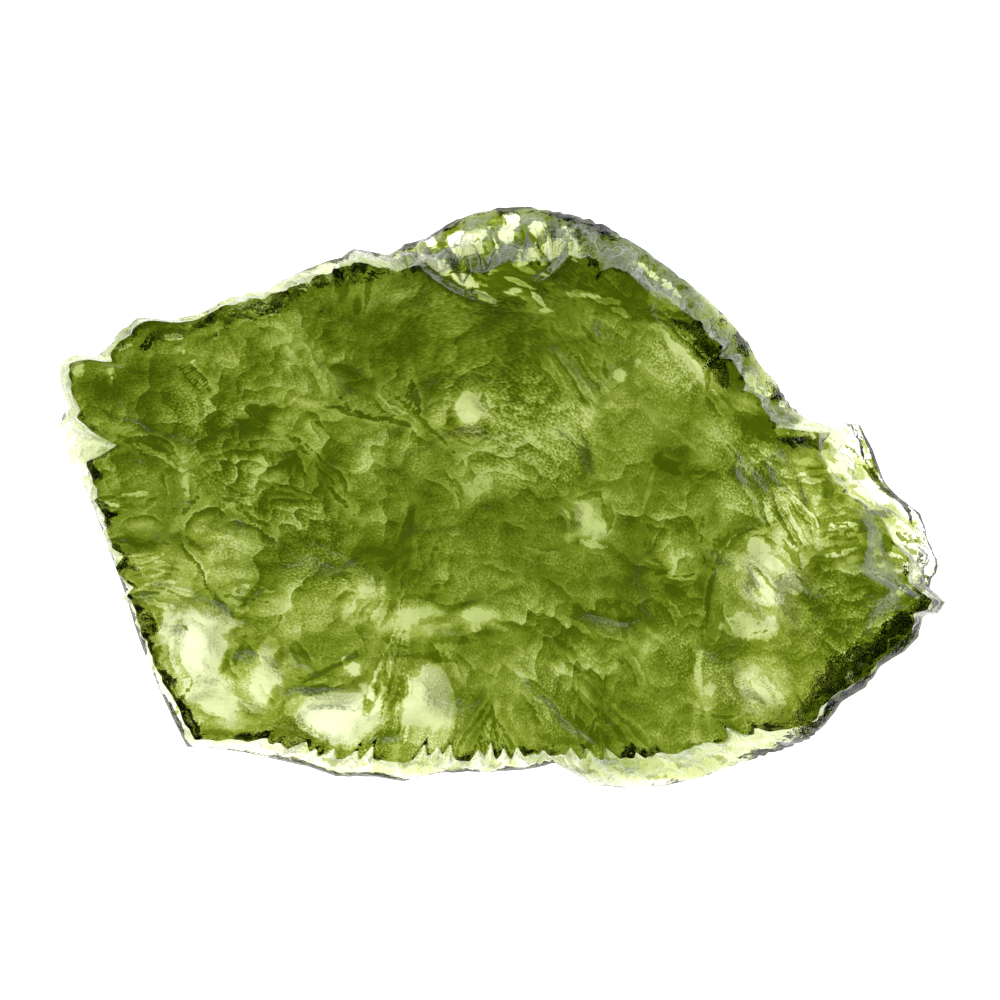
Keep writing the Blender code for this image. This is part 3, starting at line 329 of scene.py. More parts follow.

# Crisp patches of the skin, in the same form: its own tone, and painted highlights and glints on facets.
TONE_PATCHES_AND_GLINTS = [
    (-1, 9.8, 1, 0.45, -3, 1), (-0.85, 9.35, 1, 0.25, -2, 0.7), (-0.25, 9.5, 0.4, 0.5, 20, 0.6),
    (-2.6, 9.8, 0.25, 0.3, 30, 0.8), (-2.85, 10.15, 0.2, 0.15, 30, 0.6), (0.45, 10.55, 0.4, 0.4, -30, 1),
    (0.3, 9.95, 0.4, 0.45, -20, 0.9), (0.75, 9.85, 0.25, 0.25, 0, 0.5), (1.4, 10.2, 0.45, 0.4, 20, 1),
    (1.6, 9.8, 0.3, 0.35, 10, 0.7), (2.4, 10, 0.4, 0.4, -40, 1), (2, 9.4, 0.4, 0.65, -38, 1),
    (2.75, 9.25, 0.25, 0.5, -8, 1), (1.1, 9.05, 0.55, 0.4, 15, 1), (1.55, 8.8, 0.3, 0.2, -10, 0.7),
    (0.7, 8.75, 0.25, 0.1, 0, 0.6), (-2.3, 8.75, 0.8, 0.25, -30, 1), (-1.3, 8.15, 0.75, 0.3, -38, 1),
    (-0.55, 7.55, 0.6, 0.2, -30, 1), (-2.9, 9.05, 0.25, 0.15, -20, 0.7), (-1.25, 8.55, 0.25, 0.1, -8, 0.8),
    (-0.3, 8.45, 0.25, 0.15, 10, 0.8), (-0.6, 8, 0.35, 0.1, -20, 0.6), (0.45, 7.7, 0.45, 0.15, -4, 0.8),
    (0.75, 8, 0.6, 0.1, -22, 0.8), (1.35, 7.5, 0.45, 0.1, -45, 0.6), (1.65, 7, 0.3, 0.15, -10, 0.9),
    (1.6, 8.3, 0.25, 0.1, -10, 0.7), (1.05, 8.45, 0.4, 0.1, -18, 0.5), (2.9, 7.6, 0.7, 0.15, -4, 0.55),
    (3.75, 7.4, 0.55, 0.1, -14, 0.4), (4.5, 6.9, 0.35, 0.1, -20, 0.4), (2.8, 10.2, 0.2, 0.25, 20, 0.25),
    (-0.15, 10.45, 0.55, 0.15, 8, 0.35), (5.25, 8.8, 0.4, 0.15, -40, 0.9),
    (5.7, 8.4, 0.55, 0.15, -42, 0.95), (6.3, 8, 0.5, 0.2, -30, 0.9), (6.6, 7.7, 0.25, 0.15, -30, 0.7),
    (4.5, 9.85, 0.45, 0.15, -25, 0.45), (4.95, 9.55, 0.45, 0.1, -10, 0.6),
    (5.85, 7.45, 0.45, 0.35, -10, 0.35), (6.45, 7.25, 0.35, 0.25, -30, 0.4),
    (3.4, 9.05, 0.7, 0.45, -20, 0.15), (3.75, 9.7, 0.35, 0.3, 0, 0.12), (-1.55, 10.3, 0.45, 0.1, 10, 0.3),
    (-0.75, 10.3, 0.35, 0.1, -8, 0.35), (7.15, 7.6, 0.4, 0.1, -45, 0.3), (7.65, 6.95, 0.25, 0.2, -30, 0.35),
    (4.2, 9.05, 0.55, 0.2, -25, -0.15), (0, 10.95, 1, 0.1, 5, -0.4), (2.1, 10.55, 0.3, 0.45, -10, -0.5),
    (3.6, 10.15, 0.4, 0.3, -30, -0.4), (3.9, 9.65, 0.15, 0.45, 20, -0.4), (-5.3, 9.25, 0.55, 0.3, 20, 0.6),
    (-7.1, 8, 0.45, 0.15, 22, 0.7), (-6.25, 8.5, 0.25, 0.45, -12, 0.6), (-4.15, 8.75, 0.45, 0.15, -40, 0.6),
    (-12.9, 6.85, 0.85, 0.15, 5, 0.5), (-11.15, 6.9, 0.55, 0.15, -10, 0.5), (-14, 5.65, 0.4, 0.1, 10, 0.4),
    (-12.15, 6.1, 0.3, 0.1, 0, 0.5), (-14.35, 4.75, 0.15, 0.25, 20, 0.6), (-11.8, 5.55, 0.1, 0.1, 0, 0.4),
    (-11.35, 5.15, 0.1, 0.1, 0, 0.4), (-14.75, 5.35, 0.4, 0.15, 20, 0.5), (-15.7, 4.9, 0.25, 0.4, 0, 0.5),
    (-5.85, 7.9, 0.3, 0.55, 10, -0.3), (-5.25, 7.15, 0.2, 0.6, 12, -0.35), (-4.85, 7.6, 0.1, 0.7, -8, -0.3),
    (-13.25, 6.4, 1.15, 0.15, 12, -0.4), (-10.2, 6.65, 0.6, 0.15, -20, -0.3),
    (-13.05, 1.95, 1.3, 0.25, -22, -0.35), (-12.55, 1.55, 1, 0.1, -28, 0.4),
    (-14.65, -0.15, 0.7, 0.1, -3, 0.6), (-13.55, 0.25, 0.75, 0.1, 5, 0.4),
    (-14.35, 0.05, 0.75, 0.1, 0, -0.3), (-13.6, -1.55, 1.3, 0.2, -3, -0.4),
    (-11.35, 4.6, 1, 0.3, -48, -0.35), (-10.85, 4.75, 0.2, 0.6, -20, -0.3),
    (-11.65, 0.8, 0.15, 0.85, 5, 0.2), (-13.25, -0.95, 0.85, 0.4, -15, 0.15),
    (-11.55, -0.2, 0.55, 0.1, 52, -0.4), (-10, 0.05, 0.5, 0.1, 0, -0.4), (-9, -0.7, 0.85, 0.1, -30, -0.4),
    (-11.35, -1.65, 0.55, 0.15, -50, -0.35), (-10.5, -3.65, 0.85, 0.15, -48, -0.3),
    (-9.6, -3.6, 0.75, 0.1, -8, -0.35), (-9, -3.25, 0.6, 0.1, -12, 0.35), (-13.25, -2.2, 0.7, 0.1, 12, 0.3),
    (-12.85, -2.65, 0.75, 0.1, 8, -0.25), (-12.65, -3.1, 0.7, 0.1, 6, 0.3),
    (-13.25, -3.55, 0.55, 0.1, 0, -0.4), (-12.65, -3.9, 0.55, 0.1, -10, 0.3),
    (-14, -2.2, 0.35, 0.1, -20, -0.5), (-13.7, -3.15, 0.35, 0.1, -40, -0.5),
    (-13.9, -3.7, 0.15, 0.2, 0, -0.6), (-12.9, -4.65, 0.2, 0.85, -25, -0.35),
    (-12.85, -5.8, 0.15, 0.6, -25, -0.5), (-12, -7.5, 0.1, 1.5, -36, -0.5),
    (-9.7, -5.7, 0.15, 0.7, -25, -0.5), (-11.8, -4.75, 0.1, 0.1, 0, -0.9),
    (-10.05, -4.55, 0.55, 0.25, 0, 0.45), (-9.6, -3.95, 0.3, 0.2, -20, 0.4),
    (-9.65, -5.25, 0.25, 0.2, 0, -0.3), (-10.3, -6.15, 0.2, 0.45, -20, -0.25),
    (-8.25, -6.05, 0.15, 0.55, -20, -0.25), (-8.45, -7.3, 0.2, 0.55, -25, -0.3),
    (-8.15, -8.8, 0.85, 0.2, 5, -0.25), (-10.75, -8.75, 0.85, 0.15, -5, -0.3),
    (-6.35, -9.85, 0.55, 0.15, 10, -0.35), (-5.25, -10.15, 0.4, 0.15, 0, -0.3),
    (-3.35, -10, 0.6, 0.15, -5, -0.3), (-1.7, -10.3, 0.45, 0.15, 0, -0.35),
    (0.05, -10.15, 0.55, 0.15, 5, -0.3), (1.6, -10.4, 0.45, 0.15, 0, -0.3),
    (3.25, -10.35, 0.55, 0.15, -4, -0.4), (4.95, -10.15, 0.5, 0.15, 4, -0.35),
    (6.85, -10.15, 0.55, 0.15, -6, -0.4), (8.35, -9.9, 0.5, 0.15, -8, -0.35),
    (9.85, -9.65, 0.45, 0.15, -12, -0.35), (4.15, -9.75, 0.45, 0.15, 0, -0.3),
    (5.85, -10.6, 0.55, 0.15, 0, -0.3), (-6.15, -8, 1.6, 1, -8, 0.3), (-11.35, -5.6, 1.2, 1, -62, 0.3),
    (-10.5, -7.55, 1, 0.65, -20, 0.25), (-2.75, -7.7, 1.05, 1.45, 0, 0.3), (-9, -7.1, 0.45, 0.55, 0, 0.25),
    (-8.6, -5.8, 0.45, 0.65, -20, 0.25), (-2.85, -4.55, 1.15, 0.55, 0, 0.15),
    (-12.55, -4.55, 0.4, 0.7, -20, 0.2), (-9.85, -8.3, 0.85, 0.3, 5, 0.15),
    (-4.85, -7.7, 0.45, 1.15, -10, 0.15), (-6.2, -6.15, 1.35, 0.2, 26, -0.45),
    (-6.8, -7.1, 0.75, 0.2, 10, -0.45), (-5.45, -6.3, 0.45, 0.25, -30, 0.5), (-5.85, -6, 0.2, 0.4, 20, 0.4),
    (-4.9, -7.5, 0.2, 0.6, -25, -0.35), (-5, -7.1, 0.4, 0.15, -60, 0.4),
    (-4.45, -6.15, 0.1, 1.15, -22, 0.4), (-4.1, -6.75, 0.1, 1.45, -16, -0.35),
    (-3.65, -7.1, 0.1, 1.6, -6, -0.3), (-3.4, -7.5, 0.1, 1.35, -4, 0.3), (-2, -6, 0.9, 0.15, -12, -0.35),
    (-1.7, -5.25, 1.15, 0.15, 5, -0.3), (-3.05, -5.8, 0.9, 0.15, 0, -0.3), (-0.6, -8.8, 0.1, 1, -12, -0.4),
    (-0.15, -8.8, 0.1, 1, 10, -0.4), (-1.1, -8.6, 0.1, 1, -30, -0.3), (0.35, -9.1, 0.1, 0.7, 25, -0.3),
    (-0.4, -9.2, 0.1, 0.75, 0, 0.35), (-0.85, -4.35, 0.7, 0.3, -10, 0.3), (0, -4.75, 0.55, 0.15, -20, 0.3),
    (-2.4, -1.85, 0.15, 0.6, -18, -0.35), (-3.4, -1.45, 0.25, 1.15, -10, -0.2),
    (-5.6, 3.25, 1.05, 0.1, -14, -0.5), (-4, 2.9, 0.55, 0.1, -20, -0.4), (-3.15, 4, 0.1, 0.6, 8, -0.5),
    (-2.85, 2.9, 1.45, 0.1, -44, -0.35), (-5.85, 3.75, 0.1, 0.45, 30, -0.4),
    (-7.55, 2.05, 0.55, 0.1, -38, -0.35), (-6, 0.05, 0.55, 0.1, -48, -0.4),
    (-1.55, 0.45, 0.15, 0.55, 30, -0.4), (-5.6, -2.3, 0.6, 0.15, 40, -0.3),
    (-4.75, -1.9, 0.75, 0.2, -10, -0.35), (-4.15, -2.4, 0.45, 0.2, 30, -0.3),
    (-5.1, -3.35, 0.2, 0.55, 15, 0.25), (-4.35, -3.35, 0.15, 0.6, -10, 0.25),
    (-5.7, -4.1, 0.2, 0.45, -20, 0.2), (-4.85, -4.4, 0.15, 0.45, 10, -0.25),
    (-4, -3.9, 0.15, 0.55, 0, -0.2), (-3.25, -3.55, 1, 0.15, 0, -0.25), (-2.3, -4.45, 0.75, 0.15, 10, -0.2),
    (-1.15, 3.4, 0.45, 0.55, 0, 0.3), (-0.5, 3.55, 0.1, 0.45, 25, -0.3), (0, 2.3, 0.85, 0.1, 20, 0.2),
    (0.55, 2.9, 0.85, 0.1, -20, -0.2), (-1.55, 2.3, 0.6, 0.1, -30, -0.2), (4.4, 4.7, 0.4, 0.3, -35, 0.5),
    (5.05, 5.1, 0.25, 0.2, 0, 0.3), (3.9, 4.9, 0.1, 0.35, 0, -0.3), (3.4, 5.9, 0.1, 0.75, 38, -0.25),
    (2.25, 5.7, 0.1, 0.75, 30, -0.2), (3, -0.4, 0.3, 0.45, 10, 0.3), (3.65, -1.1, 0.3, 0.4, -10, 0.3),
    (3.4, -1.65, 0.45, 0.1, -10, 0.3), (2.7, -1.45, 0.3, 0.25, 0, 0.25),
    (3.85, -0.4, 0.15, 0.45, 15, -0.35), (3.3, 0.15, 0.45, 0.1, 10, -0.3),
    (6.15, 1.35, 0.7, 0.25, -30, -0.4), (7.55, 1.1, 0.65, 0.15, 14, -0.35), (6, -2.75, 0.4, 0.1, 15, -0.4),
    (6.9, -2.8, 0.55, 0.05, 8, -0.4), (5.85, -2.3, 0.3, 0.15, -40, -0.4), (6.3, 5.9, 0.9, 0.2, -42, 0.35),
    (7.25, 4.95, 0.75, 0.2, -62, 0.4), (5.95, 6.3, 0.55, 0.25, -20, 0.3),
    (7.75, 4.6, 0.1, 0.55, -15, -0.35), (7.6, -2.2, 0.4, 0.1, 70, -0.3), (5.45, 0.05, 0.1, 1.15, -15, 0.15),
    (7.4, -1.45, 0.1, 0.75, -10, -0.3), (4.5, -4.45, 0.1, 0.75, 10, -0.2),
    (6.75, 2.3, 0.75, 0.1, -40, 0.15), (8.65, 1.75, 0.55, 0.1, -50, -0.35),
    (9.25, 2.3, 0.15, 0.45, 0, -0.3), (9.8, 1.2, 1.15, 0.1, -35, 0.3), (10, 1.75, 1, 0.1, -20, 0.25),
    (7.75, -3.4, 0.15, 1.75, -8, -0.45), (8.15, -1.75, 0.75, 0.15, 52, -0.4),
    (9.2, -1.1, 1, 0.15, 18, -0.35), (9.7, -1.8, 0.55, 0.5, -50, 0.5), (10.1, -2.3, 0.55, 0.35, -50, 0.45),
    (9.7, -3.05, 0.9, 0.25, -48, 0.55), (10.3, -3.65, 0.55, 0.25, -40, 0.5),
    (10.9, -3.15, 0.4, 0.4, 20, 0.5), (8.85, -2.5, 0.2, 0.15, 0, 0.5), (9.1, -4.55, 0.55, 0.3, -20, 0.3),
    (10, -4.75, 0.45, 0.3, 20, 0.25), (9.25, -4.9, 1, 0.35, -15, 0.4), (9.7, -5, 0.2, 0.05, 10, -0.6),
    (9.4, 0.05, 0.15, 0.9, 30, 0.3), (11.85, 0.05, 0.15, 0.55, -20, 0.3), (12.75, -0.95, 0.75, 0.1, 2, 0.5),
    (12.75, -1.95, 0.75, 0.1, 10, 0.4), (12.75, -1.45, 0.75, 0.1, 4, -0.25),
    (10.9, -2, 0.1, 0.7, 35, -0.35), (7.4, -6.35, 0.15, 0.85, 0, 0.35), (7.85, -7.1, 0.3, 0.3, 0, 0.3),
    (9.85, -8.9, 0.35, 0.35, 0, 0.4), (11.3, -8.6, 0.55, 0.15, 15, 0.4), (8.45, -8.05, 1, 0.1, 0, -0.25),
    (6, -5.25, 0.7, 0.15, -40, 0.2), (5.25, -5.8, 0.2, 0.75, -20, 0.15), (3.4, -8.8, 0.1, 0.9, -20, -0.35),
    (3.65, -9, 0.1, 0.7, 0, 0.2), (4.2, -8.45, 1.3, 0.1, -50, -0.25), (4.9, -8.3, 1.3, 0.1, -46, 0.15),
    (5.25, -8.9, 1.15, 0.1, -44, -0.25), (2.25, -9, 1, 0.15, -10, -0.25), (12.9, 2.45, 0.75, 0.3, -35, 0.8),
    (12.35, 2.9, 0.55, 0.15, -10, 0.7), (13.5, 2.55, 0.4, 0.25, -55, 0.8),
    (13.05, 1.65, 0.75, 0.25, -50, 0.9), (12.75, 1.25, 0.4, 0.3, -20, 0.6), (13.65, 2, 0.2, 0.55, 30, 0.5),
    (14, 1.75, 0.15, 0.45, 28, 0.45), (13.85, 0.35, 0.85, 0.35, -25, 0.95),
    (13.25, 0.75, 0.55, 0.2, -40, 0.8), (14.45, 0.05, 0.55, 0.25, -20, 0.7),
    (14.8, 0.65, 0.4, 0.2, -50, 0.5), (15.55, -0.4, 0.85, 0.25, -36, 0.8), (14.45, 2, 0.25, 0.75, 30, 0.5),
    (15.25, -0.9, 0.45, 0.15, -30, 0.5), (16, -1.1, 0.4, 0.2, -60, 0.6), (16.2, -2.2, 0.3, 0.55, 10, 0.6),
    (15.3, -2.45, 0.25, 0.2, -30, 0.5), (15.65, -2.75, 0.35, 0.15, -10, 0.5),
    (14.9, -2.05, 0.3, 0.1, -20, 0.4), (15, -2.65, 0.25, 0.15, 0, 0.5), (13.85, 1.5, 0.75, 0.15, -56, -0.9),
    (13.25, 2, 0.55, 0.1, -35, -0.7), (13, 0.8, 0.45, 0.15, -20, -0.6), (14.15, 0.95, 0.55, 0.1, -60, -0.8),
    (14.6, 1.2, 0.15, 0.75, 28, -0.6), (14.8, 0.35, 0.45, 0.1, -35, -0.6),
    (15.3, 0.05, 0.45, 0.1, -45, -0.5), (15.85, -1.65, 0.55, 0.1, -50, -0.5),
    (15.55, -1.9, 0.4, 0.1, -40, -0.5), (15.25, -1.4, 0.45, 0.1, -36, -0.6),
    (16, -2.9, 0.4, 0.1, -15, -0.5), (16.45, -3.7, 0.5, 0.25, -30, -0.9),
    (14.3, -0.5, 0.75, 0.15, -10, -0.7), (13.55, -0.15, 0.4, 0.1, -20, -0.5),
    (13.55, -1.1, 0.6, 0.1, 10, -0.4), (14.6, -1.65, 0.35, 0.35, 20, -0.5),
    (14.25, -2.2, 0.4, 0.15, 0, -0.4), (15.1, -3.35, 0.7, 0.15, 20, 0.5),
    (15.75, -3.55, 0.45, 0.1, 25, 0.5), (13.8, -1.65, 0.3, 0.15, 0, 0.3),
    (13.2, -2.2, 0.45, 0.15, 10, 0.25), (12.3, 0.35, 0.4, 0.55, -10, -0.3),
    (12.75, 0.05, 0.3, 0.3, 0, -0.25), (11.85, 1.2, 0.4, 0.3, -30, -0.25), (11.3, 1.5, 0.7, 0.15, -8, 0.2),
    (11.75, 0.75, 0.45, 0.1, 8, 0.35), (11.75, 1.05, 0.55, 0.1, 12, 0.3), (10.5, 2.65, 0.3, 0.25, -20, 0.5),
    (11.2, 2.6, 0.25, 0.2, 0, 0.5), (10.75, 3.65, 0.4, 0.15, -30, 0.8), (9.85, 4.05, 0.4, 0.15, -35, 0.7),
    (9.35, 4.5, 0.3, 0.2, -30, 0.5), (10.15, 3.35, 0.7, 0.1, -20, -0.5),
    (11.3, 2.15, 0.85, 0.15, -10, -0.5), (12.05, 2.15, 0.55, 0.15, -40, -0.5),
    (9.25, 2.7, 0.4, 0.45, -20, -0.4), (9.8, 2.3, 0.45, 0.25, -30, -0.4),
    (10.9, 3.1, 0.55, 0.15, -30, -0.5), (11.6, 2.6, 0.15, 0.3, 30, 0.5), (10.85, 2.3, 0.1, 0.25, 20, 0.4),
    (10.15, 2.15, 0.15, 0.2, 0, -0.4), (13.1, -6.65, 0.25, 0.35, -10, 1), (13.45, -6.15, 0.2, 0.2, 0, 1),
    (14.05, -6.45, 0.25, 0.15, 40, 1), (12.6, -7.7, 0.2, 0.1, 30, 1),
]

# Edges drawn on the skin as painted shade and highlight, one on each side: the change in clearness on the
# right of each, and the places that it passes.
PAINTED_EDGE_SHADING = [
    (-0.5, (-14.05, 2.3), (-13.25, 2.4), (-12.65, 2.3), (-12.15, 2), (-11.75, 1.45)),
    (0.4, (-13.6, 1.85), (-12.85, 1.85), (-12.3, 1.65), (-11.85, 1.3)),
    (-0.4, (-11.15, 1.55), (-10.5, 1.75), (-9.85, 1.9), (-9.15, 1.85), (-8.5, 1.95)),
    (-0.5, (-8.05, 2.45), (-7.55, 2.3), (-7, 1.95), (-6.45, 1.5), (-5.85, 1), (-5.6, 0.45), (-5.5, 0.05)),
    (-0.6, (-10.35, -0.95), (-9.9, -0.75), (-9.45, -0.8), (-9, -0.95), (-8.7, -1.2), (-8.4, -1.4),
        (-8.15, -1.55)),
    (-0.6, (-11.75, -1.3), (-11.7, -0.85), (-11.4, -0.45), (-10.9, -0.25), (-10.45, -0.35), (-10.1, -0.7)),
    (-0.4, (-10.45, -0.3), (-10.3, 0), (-9.95, 0.15), (-9.6, 0.05), (-9.4, -0.3)),
    (-0.55, (-11.9, -1.25), (-11.7, -1.85), (-11.25, -2.4), (-10.95, -3.15), (-10.5, -3.65), (-10, -3.9)),
    (-0.45, (-10, -3.45), (-9.65, -3.2), (-9.25, -3.15), (-8.9, -3.3)),
    (-0.45, (-9.9, -3.95), (-9.45, -3.7), (-9, -3.65), (-8.45, -3.85)),
    (-0.45, (-8.3, -4.4), (-8.1, -4.3), (-8, -4.45), (-8.15, -4.65), (-8.3, -4.5)),
    (0.3, (-13.3, -2.15), (-12.45, -2.35), (-11.65, -2.65)),
    (-0.3, (-13.25, -2.5), (-12.3, -2.75), (-11.4, -3.1)),
    (0.25, (-13.15, -2.9), (-12.25, -3.1), (-11.35, -3.5)),
    (-0.3, (-12.9, -3.25), (-12.1, -3.45), (-11.2, -3.85)),
    (-0.4, (-15, -1.5), (-14.15, -1.45), (-13.4, -1.55), (-12.6, -1.8)),
    (-0.4, (-14.2, -1.1), (-13.85, -0.65), (-13.3, -0.5), (-12.85, -0.65), (-12.45, -1)),
    (0.6, (-15.25, -0.15), (-14.55, -0.15), (-13.95, -0.05)),
    (0.45, (-14, 0.25), (-13.55, 0.3), (-13, 0.35)), (-0.4, (-15.1, -0.35), (-14.55, -0.4), (-14, -0.35)),
    (-0.35, (-13.8, 0.05), (-13.25, 0.1), (-12.65, 0.15)),
    (-0.5, (-12.1, 5.25), (-11.55, 4.75), (-11.05, 4.3), (-10.6, 3.9)),
    (-0.45, (-11.8, 5.1), (-11.25, 4.9), (-10.8, 4.5), (-10.5, 3.95)),
    (-0.4, (-11.85, 4.8), (-11.35, 4.35), (-10.8, 3.8)),
    (0.5, (-14.25, 4.9), (-14.35, 4.55), (-14.4, 4.15)),
    (-0.35, (-14, -2.2), (-13.3, -2.05), (-12.6, -2.05)),
    (-0.3, (-11.15, 2.9), (-11.25, 3.45), (-11.35, 4)), (-0.35, (-9.85, 3.9), (-9.8, 4.2), (-9.9, 4.5)),
    (-0.35, (-12.55, 1), (-12.4, 0.5), (-12.25, 0.05)),
    (0.3, (-11.8, 1.35), (-11.6, 0.8), (-11.5, 0.15), (-11.6, -0.15)),
    (-0.3, (-11.15, 1.2), (-10.4, 0.75), (-9.65, 0.35), (-8.9, 0.15)),
    (0.25, (-11.25, 0.9), (-10.5, 0.45), (-9.7, 0.05)), (-0.3, (-9, 0.9), (-8.15, 0.35), (-7.4, 0.05)),
    (-0.4, (-7.55, 2.05), (-7.45, 1.55), (-7.35, 1.1), (-7.1, 0.8)),
    (-0.4, (-6.9, 1.5), (-6.5, 1), (-6.05, 0.5)), (0.3, (-7.2, 3.1), (-6.9, 2.6), (-6.6, 2.15)),
    (-0.35, (-7.2, 3.4), (-6.75, 3.1), (-6.5, 2.6)), (0.25, (-7.95, 5.9), (-7.4, 5.25), (-6.9, 4.75)),
    (0.25, (-7.4, 5.9), (-6.9, 5.25), (-6.45, 4.6)),
    (0.25, (-6.45, 5.15), (-6.05, 4.5), (-5.7, 3.65), (-5.45, 3.4)),
    (0.2, (-6.8, 5.7), (-6.25, 4.95), (-5.85, 4.3)), (-0.3, (-7.55, 5.55), (-6.9, 4.65), (-6.45, 3.85)),
    (-0.55, (-6.6, 3.4), (-6.05, 3.45), (-5.55, 3.4), (-4.85, 3.15), (-4.1, 3.1)),
    (-0.4, (-4.9, 4), (-4.25, 3.45), (-3.6, 2.9), (-2.95, 2.3), (-2.3, 1.95)),
    (0.35, (-4.7, 4.15), (-4, 3.65), (-3.35, 3.1), (-2.65, 2.45)),
    (-0.35, (-3.8, -1.65), (-3.65, -1.1), (-3.5, -0.5), (-3.35, 0.05)),
    (-0.4, (-3.35, 4.15), (-3.25, 3.7), (-3.4, 3.4)), (-0.4, (-3.15, 4), (-2.95, 3.7), (-3.05, 3.4)),
    (-0.35, (-5.85, 3.75), (-5.7, 3.4), (-5.3, 3.1)),
    (-0.4, (-2.15, 1.2), (-1.85, 0.8), (-1.6, 0.35), (-1.45, 0)),
    (0.35, (-1.7, 0.35), (-1.6, 0), (-1.45, -0.4)), (-0.4, (-1.85, 2), (-1.45, 1.65), (-1.3, 1.2)),
    (-0.35, (-0.2, 3.65), (0.15, 3.1), (0.45, 2.6)), (0.3, (-0.4, 2.3), (0.15, 2.1), (0.65, 2.15)),
    (-0.3, (-1.15, 1.25), (-0.85, 0.9), (-0.9, 0.45)), (-0.35, (-2.85, 0.8), (-2.3, 0.6), (-1.85, 0.2)),
    (-0.3, (0, 4.9), (0.45, 4.45), (0.75, 4)), (0.25, (-0.2, 5.55), (0.15, 5.05), (0.65, 4.75)),
    (-0.35, (1.8, 5.65), (2.7, 4.4), (3.55, 3.25)), (0.3, (2.1, 5.85), (3, 4.6), (3.75, 3.55)),
    (-0.35, (2.4, 5.85), (3.3, 4.65), (4, 3.75)), (0.3, (2.7, 5.7), (3.55, 4.6), (4.15, 3.9)),
    (-0.3, (1.35, 5.35), (1.95, 4.5), (2.45, 3.75)), (0.25, (1.6, 5.5), (2.25, 4.6), (2.8, 3.75)),
    (0.35, (2.25, -0.15), (2.6, -0.5), (2.75, -1)), (-0.35, (2.1, -0.4), (2.45, -0.75), (2.55, -1.3)),
    (-0.35, (4.15, 0.05), (4.2, -0.5), (4, -1.1), (3.6, -1.55)),
    (-0.3, (0.75, 1.55), (1.3, 1.2), (1.7, 0.65)), (-0.3, (0, -0.7), (0.55, -1), (1.1, -1.1)),
    (0.25, (0.75, -1.65), (1.5, -1.9), (2.3, -1.9)), (-0.3, (-0.75, -2.2), (0, -2.6), (0.75, -2.65)),
    (-0.3, (1.5, -2.75), (2.25, -3.15), (2.8, -3.7)), (-0.3, (3.75, -3.7), (4.45, -3.95), (4.95, -4.45)),
    (0.25, (2.25, -4.1), (3, -4.45), (3.6, -5)), (-0.3, (-2.65, -3.7), (-1.7, -3.85), (-0.75, -3.7)),
    (-0.35, (-6.45, -2.75), (-5.85, -2.6), (-5.4, -2.75)),
    (-0.35, (-6.15, -3.7), (-5.7, -3.35), (-5.25, -3.5)), (-0.3, (-5.3, -4.45), (-5.1, -4), (-4.75, -3.7)),
    (-0.3, (-4.55, -4.75), (-4.3, -4.15), (-4.1, -3.7)), (0.3, (-5.6, -4.15), (-5.4, -3.7), (-5.1, -3.4)),
    (0.3, (-4.85, -4.55), (-4.6, -4), (-4.35, -3.65)), (-0.35, (-3.8, -4.15), (-3.7, -3.7), (-3.5, -3.25)),
    (-0.5, (-7.55, -6.9), (-6.9, -6.45), (-6.25, -6.15), (-5.7, -5.85), (-4.9, -5.6)),
    (-0.4, (-6.75, -7.25), (-6.25, -7), (-5.7, -6.75)),
    (-0.35, (-7.8, -7.95), (-7.55, -8.55), (-7.1, -8.95), (-6.35, -9.25)),
    (-0.4, (-4.55, -5.3), (-4.3, -6), (-4.25, -6.75), (-4.35, -7.5), (-4.6, -8.1)),
    (-0.4, (-4.05, -5.25), (-3.85, -6), (-3.75, -6.75), (-3.85, -7.5), (-4.1, -8.15)),
    (0.35, (-4.3, -5.4), (-4.05, -6.05), (-4, -6.8), (-4.15, -7.55)),
    (0.35, (-3.8, -5.3), (-3.55, -6), (-3.5, -6.8), (-3.65, -7.7)),
    (-0.35, (-3.55, -5.3), (-3.3, -6.05), (-3.25, -6.9), (-3.4, -7.65)),
    (-0.3, (-12.1, -5.6), (-11.85, -6.3), (-11.4, -6.9)),
    (-0.35, (-11.15, -5.25), (-10.8, -5.7), (-10.75, -6.3)),
    (-0.3, (-10.2, -5.8), (-10, -6.35), (-9.6, -6.75)), (0.3, (-11.8, -6), (-11.55, -6.6), (-11.05, -7.2)),
    (-0.4, (-9.4, -5.25), (-9, -5.7), (-8.85, -6.3)), (-0.35, (-9, -6.75), (-8.85, -7.25), (-8.45, -7.65)),
    (-0.35, (-9.85, -7.5), (-9.4, -7.95), (-8.75, -8.15)),
    (-0.3, (-11.35, -7.7), (-10.8, -8.1), (-10.15, -8.25)),
    (-0.35, (-13.25, -3.7), (-12.9, -4.4), (-12.85, -5.15)),
    (-0.3, (-12.45, -5.25), (-12.4, -5.9), (-12.15, -6.6)),
    (-0.35, (-7.65, -5.25), (-7.2, -5.6), (-6.95, -6.15)),
    (0.3, (-7.95, -5.25), (-7.65, -5.8), (-7.5, -6.35)),
    (-0.35, (-2.65, -5.25), (-2.3, -5.7), (-2.15, -6.3)), (-0.3, (-1.7, -5.6), (-1.15, -6), (-0.85, -6.6)),
    (0.3, (-2.05, -5.6), (-1.6, -6.15), (-1.4, -6.75)),
    (-0.45, (-0.8, -9.65), (-0.6, -8.9), (-0.45, -8.25)),
    (-0.45, (0, -9.65), (-0.15, -8.9), (-0.35, -8.25)), (0.4, (-0.45, -9.65), (-0.4, -9.1), (-0.4, -8.55)),
    (-0.4, (-1.15, -9.65), (-0.85, -9.1), (-0.6, -8.55)),
    (-0.4, (0.35, -9.65), (0.1, -9.1), (-0.15, -8.55)), (-0.45, (3.4, -9.65), (3.55, -8.9), (3.65, -8.15)),
    (-0.4, (4, -9.65), (3.85, -8.9), (3.7, -8.15)), (0.3, (3.7, -9.65), (3.7, -9.1)),
    (-0.35, (1.5, -7.1), (2.05, -7.7), (2.45, -8.4)), (-0.35, (0.75, -7.1), (1.25, -7.8), (1.7, -8.55)),
